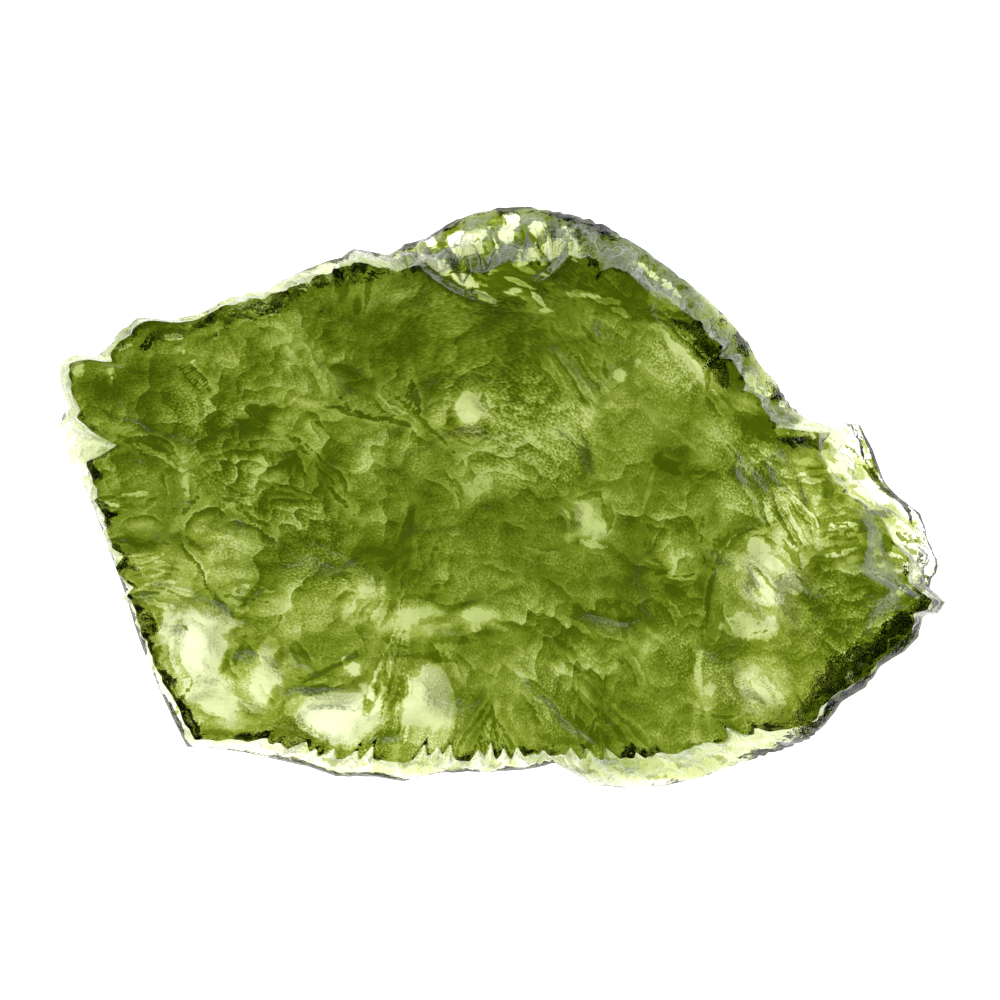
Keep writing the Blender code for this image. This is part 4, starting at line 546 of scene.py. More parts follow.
    (0.25, (1.1, -7.05), (1.7, -7.7), (2.1, -8.45)), (-0.3, (4.5, -5.6), (4.95, -6.3), (5.25, -7.1)),
    (0.25, (4.8, -5.55), (5.25, -6.2), (5.55, -6.95)), (-0.3, (2.25, -5.6), (2.9, -6.15), (3.45, -6.8)),
    (0.45, (5.85, 6.45), (6.3, 6.1), (6.85, 5.7), (7.3, 5.15), (7.7, 4.45)),
    (-0.5, (6.15, 6.65), (6.6, 6.3), (7.15, 5.85), (7.6, 5.3), (8, 4.6)),
    (-0.4, (5.25, 6.85), (5.85, 6.75), (6.3, 6.55)), (-0.4, (7.55, 4), (8, 3.65), (8.3, 3.1)),
    (0.3, (7.75, 4.3), (8.2, 3.9), (8.6, 3.4)), (-0.4, (5.45, 1.1), (5.85, 1.4), (6.3, 1.55), (6.9, 1.45)),
    (-0.4, (7.15, 0.8), (7.6, 1.05), (8.1, 1.2)),
    (-0.65, (10.05, 0.45), (10.35, -0.2), (10.65, -0.8), (10.95, -1.4), (11.3, -2.1)),
    (-0.55, (9.7, 0.05), (9.9, -0.45), (10.15, -1)),
    (0.55, (10.2, 0.15), (10.55, -0.55), (10.9, -1.25), (11.2, -1.8)),
    (0.55, (10.6, 0.1), (10.95, -0.6), (11.35, -1.25), (11.8, -2)),
    (0.55, (10.85, 0.3), (11.4, -0.2), (11.85, -0.65), (12, -1.1)),
    (-0.45, (10.4, 0.1), (10.75, -0.6), (11.15, -1.3), (11.55, -2)),
    (-0.4, (10.75, 0.15), (11.2, -0.4), (11.6, -0.85), (11.85, -1.3)),
    (0.4, (10.15, 0.5), (10.75, 0.45), (11.25, 0.15)), (-0.35, (9.7, -1.45), (10.1, -1.4), (10.45, -1.65)),
    (-0.3, (8.85, 1.75), (9.25, 1.25), (9.7, 0.8)), (-0.3, (8.5, 1.5), (8.95, 0.95), (9.4, 0.5)),
    (0.3, (9.1, 1.85), (9.55, 1.35), (9.95, 0.9)),
    (0.6, (12, -0.95), (12.45, -1.05), (12.9, -0.95), (13.4, -1.1)),
    (0.55, (11.95, -2.1), (12.45, -2), (12.95, -1.9)), (-0.35, (12, -1.2), (12.6, -1.25), (13.2, -1.35)),
    (-0.35, (12, -1.75), (12.5, -1.7), (13.05, -1.7)),
    (-0.45, (7.75, -5.4), (7.6, -4.15), (7.7, -3.05), (8.1, -2.05), (8.65, -1.4), (9.35, -1), (10.1, -1.1)),
    (-0.55, (9.25, -2.25), (9.7, -2.65), (10.15, -3.1), (10.6, -3.55)),
    (-0.35, (9.1, -2.65), (9.55, -3.1), (9.95, -3.6)),
    (-0.4, (10.35, -2.8), (10.7, -2.65), (11.15, -2.75), (11.4, -3.05)),
    (-0.35, (9.35, -1.4), (9.65, -1.25), (10, -1.3)), (-0.3, (8.3, -3.7), (8.35, -4.45), (8.75, -5.1)),
    (-0.55, (9.45, -4.95), (9.55, -4.9), (9.7, -5), (9.55, -5.1)),
    (0.4, (8.85, -6.45), (9.25, -7.05), (9.65, -7.7)), (0.45, (9.4, -6.35), (9.85, -7.05), (10.25, -7.8)),
    (0.45, (9.9, -6.45), (10.35, -7.1), (10.75, -7.85)),
    (0.35, (10.45, -7.05), (10.85, -7.55), (11.2, -8.1)), (-0.35, (9.1, -6.45), (9.55, -7.1), (9.95, -7.8)),
    (-0.4, (9.65, -6.45), (10.1, -7.1), (10.5, -7.85)), (-0.4, (10.3, -6.75), (10.7, -7.35), (11.05, -8)),
    (-0.35, (8.6, -6.3), (8.75, -6.8), (9.1, -7.5)), (-0.35, (11.1, -7.2), (11.4, -7.7), (11.6, -8.25)),
    (-0.3, (5.85, -3.7), (6.3, -4.15), (6.6, -4.75)), (0.3, (6.1, -3.55), (6.6, -4), (6.9, -4.55)),
    (-0.3, (5.25, -2.2), (5.7, -2.45), (6.3, -2.45)), (-0.35, (7.15, -2.2), (7.3, -1.65), (7.55, -1.15)),
    (-0.3, (5.25, -0.7), (5.85, -1), (6.3, -1.1)), (-0.3, (7.15, -5.25), (7.3, -6), (7.25, -6.75)),
    (0.3, (7.45, -5.8), (7.6, -6.45), (7.55, -7.1)), (-0.3, (12.8, -3.35), (13.5, -3.1), (14.1, -3.25)),
    (-0.25, (12.05, -4.45), (12.8, -4.4), (13.5, -4.6)),
    (-0.8, (-1.9, 10.3), (-1.1, 10.2), (-0.2, 10.2), (0.1, 9.7), (0.3, 9.05)),
    (-0.7, (-2, 10.15), (-1.95, 9.55), (-1.7, 9.05)),
    (-0.7, (-1.7, 8.95), (-0.95, 9), (-0.2, 8.9), (0.45, 8.8)),
    (-0.8, (-0.3, 10.1), (-0.15, 9.5), (-0.1, 8.95)), (-0.7, (0.85, 10.3), (0.9, 9.85), (1.2, 9.6)),
    (-0.8, (1.8, 10.7), (1.85, 10.15), (1.75, 9.65), (1.4, 9.4)),
    (-0.8, (0.9, 9.55), (0.6, 9.2), (0.3, 8.9)), (-0.8, (1.25, 9.5), (1.7, 9.05), (1.95, 8.65)),
    (-0.7, (2.7, 9.85), (2.45, 9.35), (2.25, 8.8)),
    (-0.8, (-3.1, 8.8), (-2.3, 8.3), (-1.45, 7.75), (-0.75, 7.3)),
    (-0.7, (-2, 8.95), (-1.3, 8.65), (-0.75, 8.3), (-0.15, 7.75)),
    (-0.6, (2.8, 10.55), (3.45, 10.4), (4, 10), (4.2, 9.4)),
    (-0.6, (-1.15, 8.35), (-0.6, 8.2), (-0.15, 8.05)), (-0.6, (0, 7.55), (0.55, 7.45), (1.1, 7.3)),
]

# How the patches and strokes are drawn.
MARK_REACH = 0.5  # how far from a mark its distance is kept
THIN = 0.13  # half width up to which a patch is drawn as a stroke
MARK_BENDS = ((0.08, 0.7), (0.05, 0.3))  # waves that bend all marks
PATCH_WAVES = ((0.3, 1.2), (0.25, 0.6))  # waves of a patch's outline, in shares of its size
PATCH_EDGE = 0.06  # width of a patch's crisp edge
PATCH_RAGGEDNESS = 1.6  # how much more ragged a patch is than a stroke
STROKE_FADE = 0.2  # share of a stroke's length over which it dies out
STROKE_EDGE = 0.015  # half width of a stroke's crisp edge
STROKE_WIDTH = 0.32  # width of the shading on its right
STROKE_BACK = -0.5  # change on its left, as a share of the change on its right
CALM_NEAR_MARKS = 0.65  # share of the fine etching that marks take away
PATCH_CALM = 0.2  # how far outside a patch they still do
STROKE_CALM = 0.3  # and how far from a stroke

# Fine etching, which the glass draws: scallops, as painted shade and highlight, and specks.
SCALLOP_RATIOS = (1.0, 2.3, 5.5)  # how many times finer than the largest each size is
SCALLOP_LIGHT = (0.9, -0.4)  # direction of the bright sides
SCALLOP_MOTTLE = (5.0, -2.0)  # slope and start by which their strength follows the mottle
LEAST_SCALLOPS = 0.4  # share of their strength that shows everywhere
DULL_MOTTLE = (4.0, -2.0)  # slope and start by which dullness follows the mottle
DULL_RANGE = (0.35, 0.6)  # least and greatest dullness
SPECK_MIDDLE = 0.6  # value of the specks' noise at which they change nothing
GRAIN_STRETCH = 1.5  # how far scallops, mottle and grain are drawn out
WALL_ETCHING = 0.4  # share of all this that shows on the wall

# Tint of the skin by its clearness: place on the scale, strength of the tint.
TINT_STOPS = [(0.0, 1.8), (0.25, 1.35), (0.5, 0.9), (0.75, 0.42), (1.0, 0.0)]
SKIN_PASSES = 2  # light passes the skin on its way in and on its way out
LEAST_CLEARNESS = 0.1

# Painted light and shade from the relief: rounds of averaging over which each kind of it is measured.
LIGHT_SIDE = -45.0  # direction in which bright slopes rise, in degrees
SMALL_ROUNDS = 12
BROAD_ROUNDS = 120
SLOPE_ROUNDS = 60

# Cells of the grids.
COLUMNS = 300  # of the upper face, along the stone, an even number
LINES = 196  # and across it, also even
WALL_ROWS = 24
UNDER_SHRINK = 0.992  # size of the underside's coarser grid, as a share of the foot's outline

TABLE_GAP = 0.02 * MM  # how far under the stone the light table lies, so that they never touch


def ease(t):
    """Smooth step: 0 below 0, 1 above 1, and three t squared less two t cubed between."""
    t = np.clip(t, 0.0, 1.0)
    return t * t * (3.0 - 2.0 * t)


def turned(x, y, degrees, stretch=1.0):
    """Coordinates in a frame turned by an angle, with lengths along its first axis shrunk by stretch."""
    c, s = math.cos(math.radians(degrees)), math.sin(math.radians(degrees))
    return (c * x + s * y) / stretch, c * y - s * x


def scatter(i, j, salt):
    """Three fixed numbers from 0 to 1 for each square of a grid, from an integer hash."""
    first, second, third = SQUARE_PRIMES
    m = (i.astype(np.int64) * first) ^ (j.astype(np.int64) * second) ^ (salt * third)
    m = m & HASH_MASK
    numbers = []
    for _ in range(3):
        m = ((m ^ (m >> 15)) * MIXERS[0]) & HASH_MASK
        m = ((m ^ (m >> 12)) * MIXERS[1]) & HASH_MASK
        m = m ^ (m >> 15)
        numbers.append(m / (HASH_MASK + 1.0))
    return numbers


def waves(x, y, size, salt):
    """Smooth noise from -1 to 1: the hashed corners of each square, blended across it."""
    u, v = x / size, y / size
    i, j = np.floor(u), np.floor(v)
    f, g = ease(u - i), ease(v - j)
    near = scatter(i, j, salt)[0] * (1 - f) + scatter(i + 1, j, salt)[0] * f
    far = scatter(i, j + 1, salt)[0] * (1 - f) + scatter(i + 1, j + 1, salt)[0] * f
    return (near * (1 - g) + far * g) * 2.0 - 1.0


def layered(x, y, layers, salt, step=1):
    """Waves of several heights and sizes added up, each from its own seed."""
    return sum(height * waves(x, y, size, salt + step * k) for k, (height, size) in enumerate(layers))


def bowls(x, y, size, salt, crispness):
    """Etched bowls: squared distance to the nearest of one loose point per square, times that
    bowl's own steepness, blended softly where two bowls meet in a ridge."""
    u, v = x / size, y / size
    i, j = np.floor(u), np.floor(v)
    weights = np.zeros_like(u)
    height = np.zeros_like(u)
    for di in (-1, 0, 1):
        for dj in (-1, 0, 1):
            a, b, c = scatter(i + di, j + dj, salt)
            off_u = i + di + BOWL_MARGIN + (1.0 - 2.0 * BOWL_MARGIN) * a - u
            off_v = j + dj + BOWL_MARGIN + (1.0 - 2.0 * BOWL_MARGIN) * b - v
            d = off_u ** 2 + off_v ** 2
            w = np.exp(-crispness * d)
            weights += w
            height += w * d * (BOWL_STEEPNESS[0] + BOWL_STEEPNESS[1] * c)
    return height / np.maximum(weights, TINY)


def etched(x, y, salt, swell):
    """Relief of an etched face: three sizes of bowls, drawn out one way on the left of the stone
    and another way on its right, on warped coordinates, over a slow swell."""
    wx = x + layered(x, y, ETCHING_BENDS, salt + 1, 2)
    wy = y + layered(x, y, ETCHING_BENDS, salt + 2, 2)
    left = turned(wx, wy, *LEFT_DRAW)
    right = turned(wx, wy, *RIGHT_DRAW)
    mix = ease((x + DRAW_CHANGE) / (2.0 * DRAW_CHANGE))
    relief = swell * layered(x, y, SWELLS, salt + SWELL_ON) - BOWL_MEAN * sum(BOWL_HEIGHTS)
    for k, (size, height, crispness) in enumerate(zip(BOWL_SIZES, BOWL_HEIGHTS, BOWL_CRISPNESS)):
        left_bowls = bowls(*left, size, salt + BOWLS_ON + k, crispness)
        right_bowls = bowls(*right, size, salt + BOWLS_ON + k, crispness)
        relief = relief + height * (left_bowls * (1 - mix) + right_bowls * mix)
    return relief


def levels(table, x, y, blend):
    """Height at a place: the table's heights averaged by closeness to its places."""
    t = np.array(table)
    d = (x[:, None] - t[:, 0]) ** 2 + (y[:, None] - t[:, 1]) ** 2
    w = 1.0 / (d + blend) ** LEVEL_POWER
    return (w * t[:, 2]).sum(axis=1) / w.sum(axis=1)


def hollowed(table, x, y, softness):
    """Sum of elliptic hollows, each its depth times one less its squared radius, to a power."""
    depth = np.zeros_like(x)
    for cx, cy, half_length, half_width, turn, deep in table:
        u, v = turned(x - cx, y - cy, turn)
        r = (u / half_length) ** 2 + (v / half_width) ** 2
        depth += deep * np.clip(1.0 - r, 0.0, None) ** softness
    return depth


def furrowed(x, y):
    """Sum of furrows: each falls off evenly to both sides of its line, starts over the first part of
    its length and dies out softly over the last."""
    depth = np.zeros_like(x)
    for x0, y0, x1, y1, half_width, deep in FURROWS:
        ex, ey = x1 - x0, y1 - y0
        length = math.hypot(ex, ey)
        along = ((x - x0) * ex + (y - y0) * ey) / length ** 2
        off = np.abs((x - x0) * ey - (y - y0) * ex) / length
        ends = np.clip(along / FURROW_START, 0, 1) * ease((1 - along) / FURROW_END)
        depth += deep * np.clip(1 - off / half_width, 0, None) * ends
    return depth


def reach(outline, angle):
    """Distance from 0, 0 to a star-shaped outline in each direction."""
    p = np.array(outline)
    p = p[np.argsort(np.arctan2(p[:, 1], p[:, 0]))]
    turn = np.arctan2(p[:, 1], p[:, 0])
    p = np.vstack([p[-1:], p, p[:1]])
    turn = np.concatenate([[turn[-1] - 2 * np.pi], turn, [turn[0] + 2 * np.pi]])
    k = np.clip(np.searchsorted(turn, angle, side="right") - 1, 0, len(turn) - 2)
    start, run = p[k], p[k + 1] - p[k]
    across = np.cos(angle) * run[:, 1] - np.sin(angle) * run[:, 0]
    return (start[:, 0] * run[:, 1] - start[:, 1] * run[:, 0]) / across


def wall_section(angle):
    """Distances of rim, upper edge and foot, the rim's height, and the upper edge's distance before
    it is chipped, in each direction. The upper edge is chipped, toothed along the near side and
    slightly jagged all round."""
    degrees = np.degrees(angle)
    table = np.array(sorted(WALLS))
    places, *sections = table.T
    inset, rim_height, foot = (np.interp(degrees, places, values, period=360) for values in sections)
    plain = reach(RIM, angle) - inset
    for direction, half_width, depth in CHIPS:
        off = np.abs((degrees - direction + 180) % 360 - 180)
        inset = inset + depth * np.clip(1.0 - off / half_width, 0.0, None)
    rim = reach(RIM, angle)
    edge_x = (rim - inset) * np.cos(angle)
    toothed = (degrees > TOOTHED_EDGE[0]) & (degrees < TOOTHED_EDGE[1])
    for x, half_width, depth in TEETH:
        inset = inset + toothed * depth * np.clip(1 - np.abs(edge_x - x) / half_width, 0, None)
    along = angle * WALL_RADIUS
    jag = layered(along, 0 * along, EDGE_JAGS, JAG_SEED)
    return rim, rim - np.maximum(inset + jag, LEAST_INSET), rim - foot, rim_height, plain


def disc(a, b):
    """A square's points on a round disc: radius from 0 to 1, and direction on the stone's oval."""
    u, v = a * np.sqrt(1 - b * b / 2), b * np.sqrt(1 - a * a / 2)
    low, high = LOW_CORNER, HIGH_CORNER
    return np.hypot(u, v), np.arctan2(v * (high.y - low.y), u * (high.x - low.x))


def calmed(radius, edge):
    """Share of the etching that shows: less near the edge."""
    return EDGE_RELIEF + (1.0 - EDGE_RELIEF) * ease((1 - radius) * edge / EDGE_CALM)


def upper_face(a, b, shape):
    """Upper face: its levels, less its hollows, pits and furrows, plus the etching, which calms near
    the edge."""
    radius, angle = disc(a, b)
    _, edge, _, _, plain = wall_section(angle)
    far = radius * plain + (edge - plain) * np.clip((radius - CHIPS_FROM) / (1 - CHIPS_FROM), 0, 1)
    x, y = far * np.cos(angle), far * np.sin(angle)
    cut = hollowed(UPPER_HOLLOWS, x, y, 1.0) + shape.pit_depth * hollowed(PITS, x, y, 1.0)
    cut = cut + shape.furrow_depth * furrowed(x, y)
    relief = shape.upper_relief * calmed(radius, edge) * etched(x, y, UPPER_SEED, shape.swell / MM)
    z = levels(UPPER_LEVELS, x, y, UPPER_BLEND) - cut + relief
    return np.column_stack([x, y, z])


def under_face(a, b, shape):
    """Underside: its levels, plus hollows going up, less the etching, pressed flat at the spot."""
    radius, angle = disc(a, b)
    _, _, edge, _, _ = wall_section(angle)
    x, y = radius * edge * np.cos(angle), radius * edge * np.sin(angle)
    relief = shape.under_relief * calmed(radius, edge) * etched(x, y, UNDER_SEED, shape.swell / MM)
    z = levels(UNDER_LEVELS, x, y, UNDER_BLEND) + hollowed(UNDER_HOLLOWS, x, y, 2.0) - relief
    z = np.minimum(z, levels(UPPER_LEVELS, x, y, UPPER_BLEND) - LEAST_THICKNESS)
    off = np.hypot((x - SPOT[0]) / SPOT_SIZE[0], (y - SPOT[1]) / SPOT_SIZE[1])
    press = 1.0 - ease((off - SPOT_FLAT) / SPOT_FADE)
    gap = UNDER_GAP * (1.0 - press)
    z = gap + PRESS_SOFTNESS * np.logaddexp(0.0, (z - SPOT_PRESS * press - gap) / PRESS_SOFTNESS)
    return np.column_stack([x, y, z])


def wall_rows(top, foot, angle, shape):
    """The wall's inner rows: straight from the upper edge out to the rim and in to the foot, with
    dents and level streaks that push it in between its three edges. Both follow the length round the
    stone and a bent height."""
    reach_out, _, _, rim_height, _ = wall_section(angle)
    rim_height = np.clip(rim_height, foot[:, 2] + RIM_ABOVE_FOOT, top[:, 2] - RIM_BELOW_TOP)
    rim = np.column_stack([reach_out * np.cos(angle), reach_out * np.sin(angle), rim_height])
    upper_run = np.linalg.norm(rim - top, axis=1)
    lower_run = np.linalg.norm(foot - rim, axis=1)
    run = upper_run + lower_run
    knee = upper_run / run
    down = np.linspace(0, 1, WALL_ROWS + 1)[1:-1][:, None]
    along_upper = np.clip(down / knee, 0, 1)[..., None]
    along_lower = np.clip((down - knee) / (1 - knee), 0, 1)[..., None]
    p = top + (rim - top) * along_upper + (foot - rim) * along_lower
    to_edge = run * np.minimum(np.minimum(down, 1 - down), np.abs(down - knee))
    arc = (angle * WALL_RADIUS)[None, :] + 0.0 * down
    height = p[..., 2] + layered(arc, 0.0 * arc, WALL_BEND, WALL_BEND_SEED)
    dents = np.full_like(arc, -DENTS_MEAN)
    for k, (depth, size, crispness, lean, squeeze) in enumerate(WALL_DENTS):
        dents += depth * bowls(arc + lean * height, height * squeeze, size, DENT_SEED + k, crispness)
    dents = np.maximum(dents, -DENTS_PROUD)
    for k, (depth, size, lean) in enumerate(WALL_STREAKS):
        dents += depth * waves(arc + lean * height, height * STREAK_SQUEEZE, size, STREAK_SEED + k)
    push = shape.wall_relief * dents * ease(to_edge / WALL_EDGE)
    p[..., 0] -= push * np.cos(angle)
    p[..., 1] -= push * np.sin(angle)
    return p.reshape(-1, 3)


def grid(columns, lines, reach_out):
    """The corners of a square from -reach_out to reach_out, cut into columns and lines."""
    a, b = np.meshgrid(
        np.linspace(-reach_out, reach_out, columns + 1),
        np.linspace(-reach_out, reach_out, lines + 1),
        indexing="ij",
    )
    return a.ravel(), b.ravel()


def border(columns, lines):
    """Indices of a grid's outer points, once round, anticlockwise."""
    i = np.concatenate([
        np.arange(columns), np.full(lines, columns), np.arange(columns, 0, -1), np.zeros(lines, int),
    ])
    j = np.concatenate([
        np.zeros(columns, int), np.arange(lines), np.full(columns, lines), np.arange(lines, 0, -1),
    ])
    return i * (lines + 1) + j


def cells(indices):
    """The four corners of each cell of a table of point indices."""
    corners = [indices[:-1, :-1], indices[1:, :-1], indices[1:, 1:], indices[:-1, 1:]]
    return np.stack(corners, axis=-1).reshape(-1, 4)


def stone_skin(shape):
    """All points of the skin, its faces as a list of arrays with equal corner counts, and where
    each part of it starts."""
    upper_a, upper_b = grid(COLUMNS, LINES, 1.0)
    under_a, under_b = grid(COLUMNS // 2, LINES // 2, UNDER_SHRINK)
    edge = border(COLUMNS, LINES)
    under_edge = border(COLUMNS // 2, LINES // 2)
    around = len(edge)
    upper = upper_face(upper_a, upper_b, shape)
    under = under_face(under_a, under_b, shape)
    foot = under_face(upper_a[edge], upper_b[edge], shape)
    _, angle = disc(upper_a[edge], upper_b[edge])
    wall = wall_rows(upper[edge], foot, angle, shape)
    points = np.vstack([upper, wall, foot, under])
    foot_start = len(upper) + len(wall)
    under_start = foot_start + around
    rows = np.vstack([edge, len(upper) + np.arange(around * WALL_ROWS).reshape(WALL_ROWS, around)])
    rows = np.hstack([rows, rows[:, :1]])
    ring = np.append(foot_start + np.arange(around), foot_start)
    inner = under_start + np.append(under_edge, under_edge[0])
    joining = np.stack([ring[:-2:2], inner[:-1], inner[1:], ring[2::2], ring[1::2]], axis=-1)
    upper_cells = cells(np.arange(len(upper)).reshape(COLUMNS + 1, LINES + 1))
    under_cells = cells(under_start + np.arange(len(under)).reshape(COLUMNS // 2 + 1, LINES // 2 + 1))
    faces = [upper_cells, cells(rows), joining, under_cells[:, ::-1]]
    return points, faces, (len(upper), foot_start)


def fitted(points):
    """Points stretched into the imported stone's box, in metres."""
    low, high = points.min(axis=0), points.max(axis=0)
    box_low, box_high = np.array(LOW_CORNER), np.array(HIGH_CORNER)
    return box_low + (points - low) * (box_high - box_low) / (high - low)


def mesh_from(name, points, faces):
    """A smooth-shaded mesh from whole arrays of points and of faces with equal corner counts."""
    mesh = bpy.data.meshes.new(name)
    mesh.vertices.add(len(points))
    mesh.vertices.foreach_set("co", points.astype(np.float32).ravel())
    corners = np.concatenate([f.ravel() for f in faces])
    counts = np.concatenate([np.full(len(f), f.shape[1]) for f in faces])
    mesh.loops.add(len(corners))
    mesh.loops.foreach_set("vertex_index", corners.astype(np.int32))
    mesh.polygons.add(len(counts))
    mesh.polygons.foreach_set("loop_start", (np.cumsum(counts) - counts).astype(np.int32))
    mesh.polygons.foreach_set("use_smooth", np.ones(len(counts), bool))
    mesh.update(calc_edges=True)
    return mesh


def set_attribute(mesh, name, values):
    """A number at each point, which the glass reads."""
    attribute = mesh.attributes.new(name, "FLOAT", "POINT")
    attribute.data.foreach_set("value", values.astype(np.float32))


def blurred(field, times):
    """A grid in which each point is averaged with its four neighbours, over and over."""
    for _ in range(times):
        padded = np.pad(field, 1, mode="edge")
        around = padded[:-2, 1:-1] + padded[2:, 1:-1] + padded[1:-1, :-2] + padded[1:-1, 2:]
        field = (field + around) / 5
    return field


def slope_towards(z, x, y, degrees):
    """How steeply a face rises in one direction, on a grid whose points have drifted from a square
    one: height and place are both compared between neighbours."""
    zi, zj = np.gradient(z)
    xi, xj = np.gradient(x)
    yi, yj = np.gradient(y)
    spread = xi * yj - xj * yi
    spread = np.where(np.abs(spread) < TINY, TINY, spread)
    rise_x, rise_y = (zi * yj - zj * yi) / spread, (zj * xi - zi * xj) / spread
    return rise_x * math.cos(math.radians(degrees)) + rise_y * math.sin(math.radians(degrees))


def patch_depths(x, y, table):
    """How far inside the nearest patch each place lies, less than 0 outside all of them, and by how
    much that patch changes the clearness. Waves make each patch's oval uneven, and a small patch wins
    over a large one that it lies in."""
    depth = np.full_like(x, -MARK_REACH)
    change = np.zeros_like(x)
    rough = layered(x, y, PATCH_WAVES, PATCH_SEED)
    for cx, cy, half_length, half_width, turn, step in sorted(table, key=lambda row: -row[2] * row[3]):
        u, v = turned(x - cx, y - cy, turn)
        inside = (1.0 + rough - np.hypot(u / half_length, v / half_width)) * min(half_length, half_width)
        nearer = (inside > depth) | (inside > 0.0)
        depth = np.where(nearer, inside, depth)
        change = np.where(nearer, step, change)
    return depth, change


def stroke_depths(x, y):
    """How far to the right of the nearest stroke each place lies, less than 0 to its left, and by how
    much that stroke changes the clearness, which dies out at both of its ends."""
    depth = np.full_like(x, -MARK_REACH)
    nearest = np.full_like(x, MARK_REACH)
    change = np.zeros_like(x)
    for step, *places in PAINTED_EDGE_SHADING:
        for k, ((x0, y0), (x1, y1)) in enumerate(zip(places, places[1:])):
            ex, ey = x1 - x0, y1 - y0
            along = np.clip(((x - x0) * ex + (y - y0) * ey) / (ex * ex + ey * ey), 0.0, 1.0)
            off = np.hypot(x - x0 - along * ex, y - y0 - along * ey)
            side = np.sign((x - x0) * ey - (y - y0) * ex)
            passed = (k + along) / (len(places) - 1)
            nearer = off < nearest
            nearest = np.where(nearer, off, nearest)
            depth = np.where(nearer, side * off, depth)
            fade = ease(np.minimum(passed, 1.0 - passed) / STROKE_FADE)
            change = np.where(nearer, step * fade, change)
    return depth, change


def clearness_and_painted_light(points, upper_count, foot_start, glass):
    """How clear each point's glass looks, from 0 to 1, with painted light in it: hollows are painted
    clearer than the mean of what is round them, slopes that rise towards the light are painted clearer than
    those that fall, and the listed shades, painted shade and light mixed with the skin's tone, are added."""
    x, y, z = (points[:upper_count, k].reshape(COLUMNS + 1, LINES + 1) for k in range(3))
    # Painted light: hollows clearer and ridges darker, as if more light came through thinner glass.
    small = blurred(z, SMALL_ROUNDS) - z
    broad = blurred(z, BROAD_ROUNDS) - z
    # Painted shade: slopes that fall away from LIGHT_SIDE darker, those that rise towards it clearer.
    rise = np.clip(slope_towards(z, x, y, LIGHT_SIDE), -1.0, 1.0)
    rise = rise - blurred(rise, SLOPE_ROUNDS)
    clear = glass.skin_clearness + glass.fine_contrast * small + glass.broad_contrast * broad
    clear = clear + glass.painted_slope_shade * rise
    values = np.full(len(points), glass.wall_clearness)
    values[:upper_count] = clear.ravel()
    values[foot_start:] = 1.0
    x, y = points[:foot_start, 0] / MM, points[:foot_start, 1] / MM
    # Soft painted shade and light from the table, mixed with the skin's own tone.
    values[:foot_start] += hollowed(PAINTED_SHADES_AND_TONE, x, y, 1.0)
    return np.clip(values, LEAST_CLEARNESS, 1.0)


def marks(points, upper_count, foot_start):
    """The numbers by which the glass draws the patches and strokes, tone and painted light and shade, with
    crisp edges, and how strongly the fine etching shows, which is less near marks and on the wall."""
    x, y = points[:foot_start, 0] / MM, points[:foot_start, 1] / MM
    wx = x + layered(x, y, MARK_BENDS, MARK_SEEDS[0])
    wy = y + layered(x, y, MARK_BENDS, MARK_SEEDS[1])
    broad = [row for row in TONE_PATCHES_AND_GLINTS if min(row[2:4]) > THIN]
    thin = [row for row in TONE_PATCHES_AND_GLINTS if min(row[2:4]) <= THIN]
    patch_depth, patch_step = patch_depths(wx, wy, broad)
    thin_depth, thin_step = patch_depths(wx, wy, thin)
    line_depth, line_step = stroke_depths(wx, wy)
    closer = np.abs(thin_depth) < np.abs(line_depth)
    line_depth = np.where(closer, thin_depth, line_depth)
    line_step = np.where(closer, thin_step, line_step)
    near_patch = np.clip(1.0 + patch_depth / PATCH_CALM, 0.0, 1.0)
    near_line = np.clip(1.0 - np.abs(line_depth) / STROKE_CALM, 0.0, 1.0)
    etching = 1.0 - CALM_NEAR_MARKS * np.maximum(near_patch, near_line)
    etching[upper_count:] *= WALL_ETCHING
    numbers = {
        "patch_depth": patch_depth, "patch_step": patch_step, "line_depth": line_depth,
        "line_step": line_step, "etching": etching,
    }
    below = len(points) - foot_start
    return {name: np.append(values, np.full(below, values.min())) for name, values in numbers.items()}


def link(nodes, out_node, out_name, in_node, in_name):
    """Joins two sockets of one material."""
    nodes.id_data.links.new(out_node.outputs[out_name], in_node.inputs[in_name])


def math_node(nodes, operation, *values):
    """A calculation on sockets, given as (node, output name), and plain numbers."""
    node = nodes.new("ShaderNodeMath")
    node.operation = operation
    for socket, value in zip(node.inputs, values):
        if isinstance(value, tuple):
            nodes.id_data.links.new(value[0].outputs[value[1]], socket)
        else:
            socket.default_value = value
    return node, "Value"


def drawn_out(nodes):
    """Object coordinates drawn out one way on the left of the stone and another way on its right."""
    place = nodes.new("ShaderNodeTexCoord")
    apart = nodes.new("ShaderNodeSeparateXYZ")
    link(nodes, place, "Object", apart, "Vector")
    side = nodes.new("ShaderNodeMapRange")
    side.inputs["From Min"].default_value = -DRAW_CHANGE * MM
    side.inputs["From Max"].default_value = DRAW_CHANGE * MM
    link(nodes, apart, "X", side, "Value")
    both = nodes.new("ShaderNodeMix")
    both.data_type = "VECTOR"
    link(nodes, side, "Result", both, 0)
    for socket, (degrees, _) in ((4, LEFT_DRAW), (5, RIGHT_DRAW)):
        turn = nodes.new("ShaderNodeMapping")
        turn.vector_type = "TEXTURE"
        turn.inputs["Rotation"].default_value = (0.0, 0.0, math.radians(degrees))
        turn.inputs["Scale"].default_value = (GRAIN_STRETCH, 1.0, 1.0)
        link(nodes, place, "Object", turn, "Vector")
        link(nodes, turn, "Vector", both, socket)
    return both, 1


def noise_node(nodes, vector, scale, detail):
    """Flat noise on given coordinates."""
    noise = nodes.new("ShaderNodeTexNoise")
    noise.noise_dimensions = "2D"
    noise.inputs["Scale"].default_value = scale
    noise.inputs["Detail"].default_value = detail
    link(nodes, *vector, noise, "Vector")
    return noise


